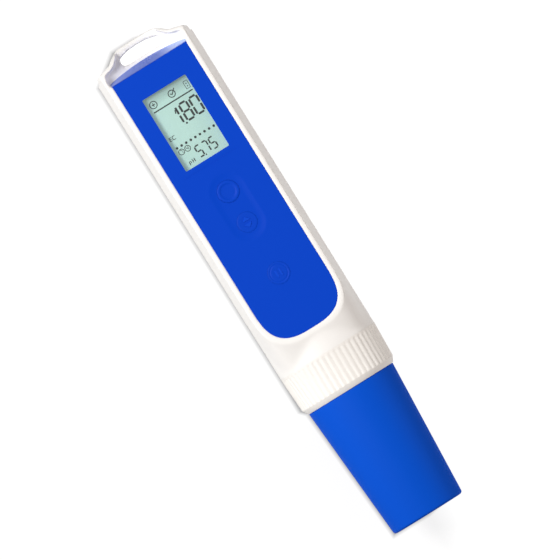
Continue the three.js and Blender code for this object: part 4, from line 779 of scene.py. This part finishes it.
# Display
lens = joined(prism(rounded_box(9.6, 44.6, 76.7, 0.8), "Z", 35.5, 36.2),
              prism(rounded_box(8.35, WINDOW_LOW + 0.15, WINDOW_HIGH - 0.15, 0.35), "Z", 36.0, 36.9))
bevelled(lens, 0.12)
finished(lens, "display_lens", "housing", clear_lens, ["display_window"], sharp=30)

LCD_TOP = 35.4
SEGMENTS = {"0": "abcdef", "1": "bc", "4": "bcfg", "5": "afgcd", "7": "abc", "8": "abcdefg"}


def segment_outlines(left, low, width, height, stroke, text):
    """Seven-segment digit as bars with pointed ends."""
    mid, gap = height / 2, stroke * 0.28
    bars = {
        "a": ((0, height), (width, height)), "g": ((0, mid), (width, mid)), "d": ((0, 0), (width, 0)),
        "f": ((0, mid), (0, height)), "b": ((width, mid), (width, height)),
        "e": ((0, 0), (0, mid)), "c": ((width, 0), (width, mid)),
    }
    made = []
    for letter in SEGMENTS[text]:
        (x0, y0), (x1, y1) = bars[letter]
        along = Vector((x1 - x0, y1 - y0)).normalized()
        side = Vector((-along.y, along.x)) * stroke / 2
        start, end = Vector((x0, y0)) + along * gap, Vector((x1, y1)) - along * gap
        tip = along * stroke * 0.3
        points = [start, start + tip - side, end - tip - side, end, end - tip + side, start + tip + side]
        made.append([(left + p.x, low + p.y) for p in points])
    return made


def ring_outline(x, y, radius, steps=24):
    return arc(x, y, radius, radius, 0, 360 * (steps - 1) / steps, steps - 1)


def flat_marks(name, outlines, holes=()):
    low, high = LCD_TOP + 0.015, LCD_TOP + 0.05
    bm = bmesh.new()
    for outline in outlines:
        ring = bmesh.ops.create_circle(bm, cap_ends=True, segments=len(outline), radius=1)["verts"]
        for vert, (x, y) in zip(ring, outline):
            vert.co = (x, y, low)
    for outer, inner in holes:
        loops = []
        for outline in (outer, inner):
            ring = bmesh.ops.create_circle(bm, cap_ends=False, segments=len(outline), radius=1)["verts"]
            for vert, (x, y) in zip(ring, outline):
                vert.co = (x, y, low)
            loops += list({edge for vert in ring for edge in vert.link_edges})
        bmesh.ops.bridge_loops(bm, edges=loops)
    made = bmesh.ops.extrude_face_region(bm, geom=bm.faces[:])["geom"]
    lifted = [g for g in made if isinstance(g, bmesh.types.BMVert)]
    bmesh.ops.translate(bm, verts=lifted, vec=(0, 0, high - low))
    return finished(new_object(name, bm), name, "housing", lcd_ink, sharp=30)


def bar(x0, y0, x1, y1):
    return [(x0, y0), (x1, y0), (x1, y1), (x0, y1)]


def stroke(x0, y0, x1, y1, width):
    """Straight pen stroke between two points."""
    along = Vector((x1 - x0, y1 - y0)).normalized() * width / 2
    side = Vector((-along.y, along.x))
    start, end = Vector((x0, y0)) - along, Vector((x1, y1)) + along
    return [tuple(start - side), tuple(end - side), tuple(end + side), tuple(start + side)]


def hollow(x, y, radius, width):
    return ring_outline(x, y, radius), ring_outline(x, y, radius - width)


reading = []
for left, text in ((1.15, "8"), (5.1, "0")):
    reading += segment_outlines(left, 60.95, 2.75, 6.2, 0.72, text)
reading += segment_outlines(-3.05, 60.95, 2.75, 6.2, 0.72, "1")
reading += [stroke(-1.1, 65.2, -0.8, 66.1, 0.36)]
for left, text in ((-1.85, "5"), (0.8, "7"), (3.5, "5")):
    reading += segment_outlines(left, 48.25, 1.75, 4.05, 0.5, text)
reading += [ring_outline(0.42, 60.5, 0.36, 12), ring_outline(0.4, 48.05, 0.26, 12)]
flat_marks("lcd_reading", reading)

icons = [bar(-7.2, 68.85, 8.0, 69.28)]
icons += [ring_outline(-6.93 + 1.808 * i, 54.95, 0.45, 12) for i in range(9)]
icons += [bar(6.95, low, 7.35, low + 0.32) for low in (70.75, 71.75)]
icons += [stroke(-6.5, 71.5, -5.5, 71.5, 0.26), stroke(-6.0, 71.0, -6.0, 72.0, 0.26)]
icons += [stroke(0.75, 71.6, 1.2, 71.2, 0.3), stroke(1.3, 71.25, 2.75, 72.75, 0.3)]
icons += segment_outlines(-6.55, 52.55, 0.62, 1.15, 0.2, "7")
icons += segment_outlines(-4.25, 52.55, 0.66, 1.15, 0.2, "4")
icons += [stroke(-7.55, 57.95, -7.55, 59.15, 0.24), stroke(-7.45, 59.15, -6.95, 59.15, 0.22),
          stroke(-7.45, 58.55, -7.05, 58.55, 0.22), stroke(-7.45, 57.95, -6.95, 57.95, 0.22)]
icons += [stroke(-6.45, 58.15, -6.45, 58.95, 0.24), stroke(-6.3, 59.15, -5.55, 59.15, 0.22),
          stroke(-6.3, 57.95, -5.55, 57.95, 0.22)]
icons += [stroke(-5.95, 47.75, -5.95, 48.75, 0.22), stroke(-5.85, 48.85, -5.4, 48.85, 0.2),
          stroke(-5.3, 48.4, -5.3, 48.75, 0.2), stroke(-5.85, 48.3, -5.4, 48.3, 0.2)]
icons += [stroke(-4.65, 48.1, -4.65, 49.2, 0.24), stroke(-3.85, 48.1, -3.85, 49.2, 0.24),
          stroke(-4.55, 48.65, -3.95, 48.65, 0.2)]
frames = [hollow(-6.0, 71.5, 1.4, 0.29), hollow(1.23, 71.5, 1.36, 0.3), hollow(-6.27, 53.1, 1.1, 0.23),
          hollow(-3.9, 53.1, 1.1, 0.23)]
cell_case = [rounded_box(half, low, high, corner, 2) for half, low, high, corner in
             ((0.84, -1.43, 1.43, 0.25), (0.67, -1.26, 1.26, 0.12))]
frames += [tuple([(x + 7.15, y + 71.5) for x, y in ring] for ring in cell_case)]
flat_marks("lcd_icons", icons, frames)

# Lock ring, cap
def rib_loop(y, radius, depth, per_rib=8):
    loop = []
    for rib in range(RIBS):
        for step in range(per_rib):
            turn = 2 * math.pi * (rib + step / per_rib) / RIBS
            wave = 0.5 + 0.5 * math.cos(2 * math.pi * step / per_rib)
            r = radius - depth * (1 - wave ** 0.7)
            loop.append(Vector((r * math.cos(turn), y, AXIS + r * math.sin(turn))))
    return loop


ring_levels = [(0, 16.7, 0), (0.12, 16.85, 0), (1.75, 17.72, 0), (1.95, 17.84, 0.04), (2.2, 17.93, RIB_DEPTH),
               (13.6, 18.42, RIB_DEPTH), (14.0, 18.43, 0.14), (14.25, 18.44, 0), (14.78, 18.44, 0)]
ring = lofted([rib_loop(RING_LOW + y, radius, depth) for y, radius, depth in ring_levels])
carved(ring, spun([(0, -41.9), (RING_BORE, -41.9), (RING_BORE, -28.6), (0, -28.6)]),
       spun([(0, -46), (RING_HOLE, -46), (RING_HOLE, -41), (0, -41)]))
finished(ring, "ribbed_ring", "lock_ring", ring_plastic, ["lock_ring"], sharp=50)

cap_profile = ([(0, CAP_END + 0.15), (9.5, CAP_END + 0.15), (10.2, CAP_END)]
               + arc(12.4, CAP_END + CAP_EDGE, CAP_EDGE, CAP_EDGE, -90, -4, 8)
               + [(CAP_MOUTH_RADIUS, CAP_MOUTH - 0.2), (16.45, CAP_MOUTH), (14.3, CAP_MOUTH),
                  (RING_HOLE, CAP_MOUTH - 0.1), (RING_HOLE, -53.6), (14.05, -53.9)]
               + arc(10.66, -90.7, CAP_EDGE, CAP_EDGE, 0, -90, 4) + [(0, -91.8)])
cap = spun(cap_profile, steps=128)
finished(cap, "tapered_cap", "cap", blue_cap, ["cap"], sharp=60)

# Collar and probe
def screw_thread(root, crest, low, high, pitch):
    """Right-hand ridge that the ring runs on."""
    bm = bmesh.new()
    section = [(root, -0.72), (crest, -0.26), (crest, 0.26), (root, 0.72)]
    verts = [bm.verts.new((r, low + y, AXIS)) for r, y in section]
    edges = [bm.edges.new((verts[i], verts[i - 1])) for i in range(len(verts))]
    turns = (high - low) / pitch
    bmesh.ops.spin(bm, geom=verts + edges, cent=(0, 0, AXIS), axis=(0, 1, 0), dvec=(0, pitch / TURN_STEPS, 0),
                   angle=2 * math.pi * turns, steps=round(turns * TURN_STEPS), use_merge=False)
    bmesh.ops.holes_fill(bm, edges=bm.edges[:], sides=len(section))
    return new_object("ridge", bm)


collar = spun([(BORE_RADIUS, COLLAR_END), (THREAD_ROOT - 0.25, COLLAR_END), (THREAD_ROOT, COLLAR_END + 0.25),
               (THREAD_ROOT, FLANGE_LOW), (FLANGE_RADIUS, FLANGE_LOW), (FLANGE_RADIUS, FLANGE_HIGH),
               (SLEEVE_RADIUS, FLANGE_HIGH), (SLEEVE_RADIUS, SLEEVE_TOP), (BORE_RADIUS, SLEEVE_TOP),
               (BORE_RADIUS, COLLAR_END)])
joined(collar, screw_thread(THREAD_ROOT - 0.2, THREAD_CREST, COLLAR_END + 0.9, -30.3, THREAD_PITCH))
finished(collar, "threaded_collar", "housing", white_plastic, ["neck_collar"],
         sharp=35, even=True)


def groove(radius, y):
    return [(radius, y - 1), (radius - 1.75, y - 1), (radius - 1.75, y + 1), (radius, y + 1)]


holder = spun([(0, PROBE_END), (BOSS_RADIUS, PROBE_END), (BOSS_RADIUS, NECK_LOW), (NECK_RADIUS, NECK_LOW),
               *groove(NECK_RADIUS, NECK_SEAL), (NECK_RADIUS, NECK_HIGH), (PROBE_FLANGE_RADIUS, NECK_HIGH),
               (PROBE_FLANGE_RADIUS, PROBE_FLANGE_HIGH), (STEM_RADIUS, PROBE_FLANGE_HIGH),
               *groove(STEM_RADIUS, LOWER_SEAL), *groove(STEM_RADIUS, UPPER_SEAL), (STEM_RADIUS, STEM_TOP),
               (0, STEM_TOP)])
bevelled(holder, 0.18)
finished(holder, "probe_body", "probe", black_plastic, ["probe_holder"], sharp=50, even=True)

guard = spun([(GUARD_BORE, GUARD_END), (GUARD_RADIUS, GUARD_END), (GUARD_RADIUS, GUARD_TOP),
              (GUARD_BORE, GUARD_TOP), (GUARD_BORE, GUARD_END)])
slot_outline = rounded_box(2.75, -79.8, -63.8, 2.55, 10)
carved(guard, prism(slot_outline, "Z", AXIS - 12, AXIS + 12),
       prism([(y, AXIS + x) for x, y in slot_outline], "X", -12, 12))
bevelled(guard, 0.16)
finished(guard, "slotted_guard", "probe", black_plastic, ["sensor_guard"],
         sharp=50, even=True)

for node, name, centre, y in (("cap_seal", "neck_ring", 13.15, NECK_SEAL),
                              ("stem_seal_lower", "stem_ring_lower", 11.65, LOWER_SEAL),
                              ("stem_seal_upper", "stem_ring_upper", 11.65, UPPER_SEAL)):
    section = arc(centre, y, SEAL_RADIUS, SEAL_RADIUS, 0, 360, 20)
    finished(spun(section), name, "probe", black_rubber, [node])

bulb_foot = BULB_CENTRE + BULB_RADIUS * math.cos(math.asin(BULB_NECK / BULB_RADIUS))
bulb_dome = arc(0, BULB_CENTRE, BULB_RADIUS, BULB_RADIUS, -90, 34, 20)[1:]
bulb = spun([(0, BULB_CENTRE - BULB_RADIUS), *bulb_dome, (BULB_NECK, bulb_foot + 0.2),
             (BULB_NECK, SENSOR_TOP), (0, SENSOR_TOP)], centre=(BULB_X, AXIS), steps=64)
finished(bulb, "glass_bulb", "probe", bulb_glass, ["ph_bulb"], sharp=50)
wire = spun([(0, -79.4), *arc(0, -79.1, 0.3, 0.3, -90, 0, 5)[1:], (0.3, -56), (0, -56)],
            centre=(BULB_X, AXIS), steps=20)
finished(wire, "bulb_wire", "probe", steel, sharp=50)

for node, place, radius, slot_name, finish in (
        ("reference_junction", (0, AXIS + 6.3), 1.5, "junction_ceramic", junction_ceramic),
        ("temperature_pin", (0, AXIS - 6.3), 1.3, "steel", steel),
        ("conductivity_pin_front", (4.6, AXIS + 2.3), 1.0, "steel", steel),
        ("conductivity_pin_rear", (4.6, AXIS - 2.3), 1.0, "steel", steel)):
    tip = arc(0, PIN_END + radius, radius, radius, -90, 0, 8)
    pin = spun([(0, PIN_END)] + tip[1:] + [(radius, SENSOR_TOP), (0, SENSOR_TOP)], centre=place, steps=32)
    finished(pin, node + "_tip", "probe", finish, [node], sharp=50)

# Battery bay
WRAP = [(4.4, 0.12), (4.85, 0.02), (5.15, 0.14), (5.25, 0.45), (5.25, 43.2), (5.15, 43.52), (4.85, 43.66),
        (4.3, 43.66), (4.3, 0.12), (4.4, 0.12)]
BAND = [(5.2, 31), (5.27, 31), (5.27, 40.6), (5.2, 40.6), (5.2, 31)]
CAN = [(0, 0.02), (3.6, 0.02), (3.8, 0.2), (4.35, 0.2), (4.35, 43.5), (2.9, 43.5), (2.5, 43.7), (1.9, 43.72),
       (1.9, 44.35), (1.75, 44.5), (0, 44.5)]


def cell_form(profile, x, flip):
    """Profile of (radius, distance from the flat end) turned about a cell's own line."""
    placed = [(r, CELL_HIGH - a if flip else CELL_LOW + a) for r, a in profile]
    return spun(placed, centre=(x, CELL_Z), steps=72)


for node, x, flip in (("cell_left", -CELL_OFFSET, False), ("cell_right", CELL_OFFSET, True)):
    wrap = cell_form(WRAP, x, flip)
    finished(wrap, node + "_wrap", "housing", cell_wrap, [node], sharp=50)
    finished(cell_form(BAND, x, flip), node + "_band", "housing", cell_band, sharp=50)
    finished(cell_form(CAN, x, flip), node + "_can", "housing", nickel, sharp=30)


def dressed(node, material, width, body="housing"):
    """CAD piece with its edges eased."""
    bm = bmesh.new()
    bm.from_mesh(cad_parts[node].data)
    bmesh.ops.scale(bm, verts=bm.verts, vec=(1000, 1000, 1000))
    bmesh.ops.remove_doubles(bm, verts=bm.verts, dist=0.002)
    bmesh.ops.dissolve_limit(bm, angle_limit=math.radians(2), verts=bm.verts, edges=bm.edges)
    piece = new_object(node, bm)
    lining = piece.data.attributes.get("custom_normal")
    if lining:
        piece.data.attributes.remove(lining)
    bevelled(piece, width, angle=25)
    return finished(piece, node + "_finished", body, material, [node], sharp=45, even=True)


dressed("battery_tray", black_plastic, 0.2)
dressed("door_gasket", black_rubber, 0.15, "battery_door")
for label in ("contact_bridge", "contact_positive", "contact_negative"):
    dressed(label, nickel, 0.06)
for label in DOOR_SCREWS:
    dressed(label, steel, 0.08, "battery_door")
for label in SHELL_SCREWS:
    dressed(label, steel, 0.08)
dressed("probe_plug", black_plastic, 0.1, "probe")

# Carried CAD pieces
for node, finish in {
        "lcd_glass": lcd_face, "lcd_backlight": white_plastic, "lcd_frame": black_plastic,
        "contact_strip": black_rubber, "main_board": board_green, "board_socket": black_plastic,
        "power_switch": black_plastic, "mode_switch": black_plastic, "hold_switch": black_plastic,
        "power_plunger": black_plastic, "mode_plunger": black_plastic, "hold_plunger": black_plastic}.items():
    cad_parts[node].data.materials.clear()
    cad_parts[node].data.materials.append(finish)

# Floor, light, camera
def background_rays(tree, path):
    """1 for the rays that show the background: camera, glossy and transmission rays."""
    direct = maths(tree, "MAXIMUM", path.outputs["Is Camera Ray"], path.outputs["Is Glossy Ray"])
    return maths(tree, "MAXIMUM", direct, path.outputs["Is Transmission Ray"])


bm = bmesh.new()
bmesh.ops.create_grid(bm, x_segments=1, y_segments=1, size=2500)
floor = new_object("floor", bm)
floor.data.transform(Matrix.Translation((0, 0, -0.0001)) @ Matrix.Scale(0.001, 4))
paper = bpy.data.materials.new("pale floor with painted shadow")
paper.use_nodes = True
tree = paper.node_tree
matt = tree.nodes["Principled BSDF"]
matt.inputs["Base Color"].default_value = (0.2, 0.2, 0.2, 1)
matt.inputs["Roughness"].default_value = 0.9
matt.inputs["Specular IOR Level"].default_value = 0.1
painted_shadow_glow = tree.nodes.new("ShaderNodeEmission")
path = tree.nodes.new("ShaderNodeLightPath")
both = tree.nodes.new("ShaderNodeAddShader")
choose = tree.nodes.new("ShaderNodeMixShader")
place = tree.nodes.new("ShaderNodeSeparateXYZ")
tree.links.new(tree.nodes.new("ShaderNodeTexCoord").outputs["Object"], place.inputs[0])
# The floor's camera emission is a painted shadow that follows the pen's outline at rest: it is lowest under
# and beside the pen and reaches white 1.5 mm out, which paints a contact shadow along the pen's left and
# lower edges.
across, along = place.outputs["X"], place.outputs["Y"]
wide = maths(tree, "ABSOLUTE", across, 0.0)
step = clamped(tree, maths(tree, "MULTIPLY", maths(tree, "SUBTRACT", -0.0423, along), 480.0))
taper = maths(tree, "MULTIPLY", maths(tree, "MAXIMUM", maths(tree, "SUBTRACT", -0.0444, along), 0.0), 0.062)
half = maths(tree, "SUBTRACT", maths(tree, "SUBTRACT", 0.0185, taper), maths(tree, "MULTIPLY", step, 0.0019))
below = maths(tree, "SUBTRACT", -0.094, along)
above = maths(tree, "SUBTRACT", along, 0.0938)
slant = maths(tree, "ADD", maths(tree, "MULTIPLY", wide, 0.61), maths(tree, "MULTIPLY", along, 0.79))
corner = maths(tree, "SUBTRACT", slant, 0.0793)
outside = maths(tree, "MAXIMUM", maths(tree, "SUBTRACT", wide, half), maths(tree, "MAXIMUM", below, above))
outside = maths(tree, "MAXIMUM", outside, corner)
slot = maths(tree, "MINIMUM", maths(tree, "SUBTRACT", 0.0089, wide), maths(tree, "SUBTRACT", along, 0.0862))
slot = maths(tree, "MINIMUM", slot, maths(tree, "SUBTRACT", 0.0932, along))
slot = clamped(tree, maths(tree, "MULTIPLY", slot, 900.0))
# Painted light: the emission is raised to white on the pen's right, which paints out the lamp's shadow there,
# and behind the lanyard slot, as if light came through it.
far = clamped(tree, maths(tree, "ADD", clamped(tree, maths(tree, "MULTIPLY", across, 120.0)), slot))
painted_shadow_clear = clamped(tree, maths(tree, "ADD", clamped(tree, maths(tree, "DIVIDE", outside, 0.0015)), far))
# Emission strength from 0.28 under the pen up to white clear of it: the painted shadow.
rise = maths(tree, "MULTIPLY", maths(tree, "POWER", painted_shadow_clear, 0.7), 0.54)
lift = maths(tree, "ADD", maths(tree, "ADD", 0.28, rise), maths(tree, "MULTIPLY", far, 0.13))
tree.links.new(lift, painted_shadow_glow.inputs["Strength"])
seen = background_rays(tree, path)
tree.links.new(matt.outputs[0], both.inputs[0])
tree.links.new(painted_shadow_glow.outputs[0], both.inputs[1])
tree.links.new(seen, choose.inputs[0])
tree.links.new(matt.outputs[0], choose.inputs[1])
tree.links.new(both.outputs[0], choose.inputs[2])
tree.links.new(choose.outputs[0], tree.nodes["Material Output"].inputs["Surface"])
floor.data.materials.append(paper)

world = bpy.data.worlds.new("studio")
bpy.context.scene.world = world
world.use_nodes = True
sky = world.node_tree
soft = sky.nodes["Background"]
soft.inputs["Color"].default_value = (1, 0.93, 0.89, 1)
soft.inputs["Strength"].default_value = 0.23
white = sky.nodes.new("ShaderNodeBackground")
white.inputs["Strength"].default_value = 1.0
ray = sky.nodes.new("ShaderNodeLightPath")
blend = sky.nodes.new("ShaderNodeMixShader")
shown = background_rays(sky, ray)
sky.links.new(shown, blend.inputs[0])
sky.links.new(soft.outputs[0], blend.inputs[1])
sky.links.new(white.outputs[0], blend.inputs[2])
sky.links.new(blend.outputs[0], sky.nodes["World Output"].inputs["Surface"])
white.inputs["Color"].default_value = (1, 1, 1, 1)


def lamp(name, place, size, power, colour=(1, 1, 1)):
    data = bpy.data.lights.new(name, "AREA")
    data.shape = "RECTANGLE"
    data.size, data.size_y = size
    data.energy = power
    data.color = colour
    obj = bpy.data.objects.new(name, data)
    obj.location = place
    obj.rotation_mode = "QUATERNION"
    obj.rotation_quaternion = (Vector((0, 0, 0.02)) - Vector(place)).to_track_quat("-Z", "Y")
    obj.visible_camera = False
    bpy.context.scene.collection.objects.link(obj)


lamp("key", (-0.61, 0.42, 0.96), (0.45, 0.45), 13.1)
lamp("right fill", (0.86, 0, 0.3), (0.6, 0.25), 2.7, (1, 0.94, 0.91))
lamp("low fill", (0.2, -0.9, 0.35), (0.5, 0.3), 1.2, (1, 0.9, 0.82))
lamp("left fill", (-0.9, 0, 0.1), (0.6, 0.14), 1.3)

camera = bpy.data.cameras.new("camera")
camera.lens = 1716
camera.sensor_width = 36
camera.clip_end = 20
eye = bpy.data.objects.new("camera", camera)
eye.location = (-0.00095, -0.00085, 9.0)
eye.rotation_euler = (0, 0, math.radians(-31.9))
bpy.context.scene.collection.objects.link(eye)
bpy.context.scene.camera = eye
bpy.context.scene.view_settings.view_transform = "Standard"
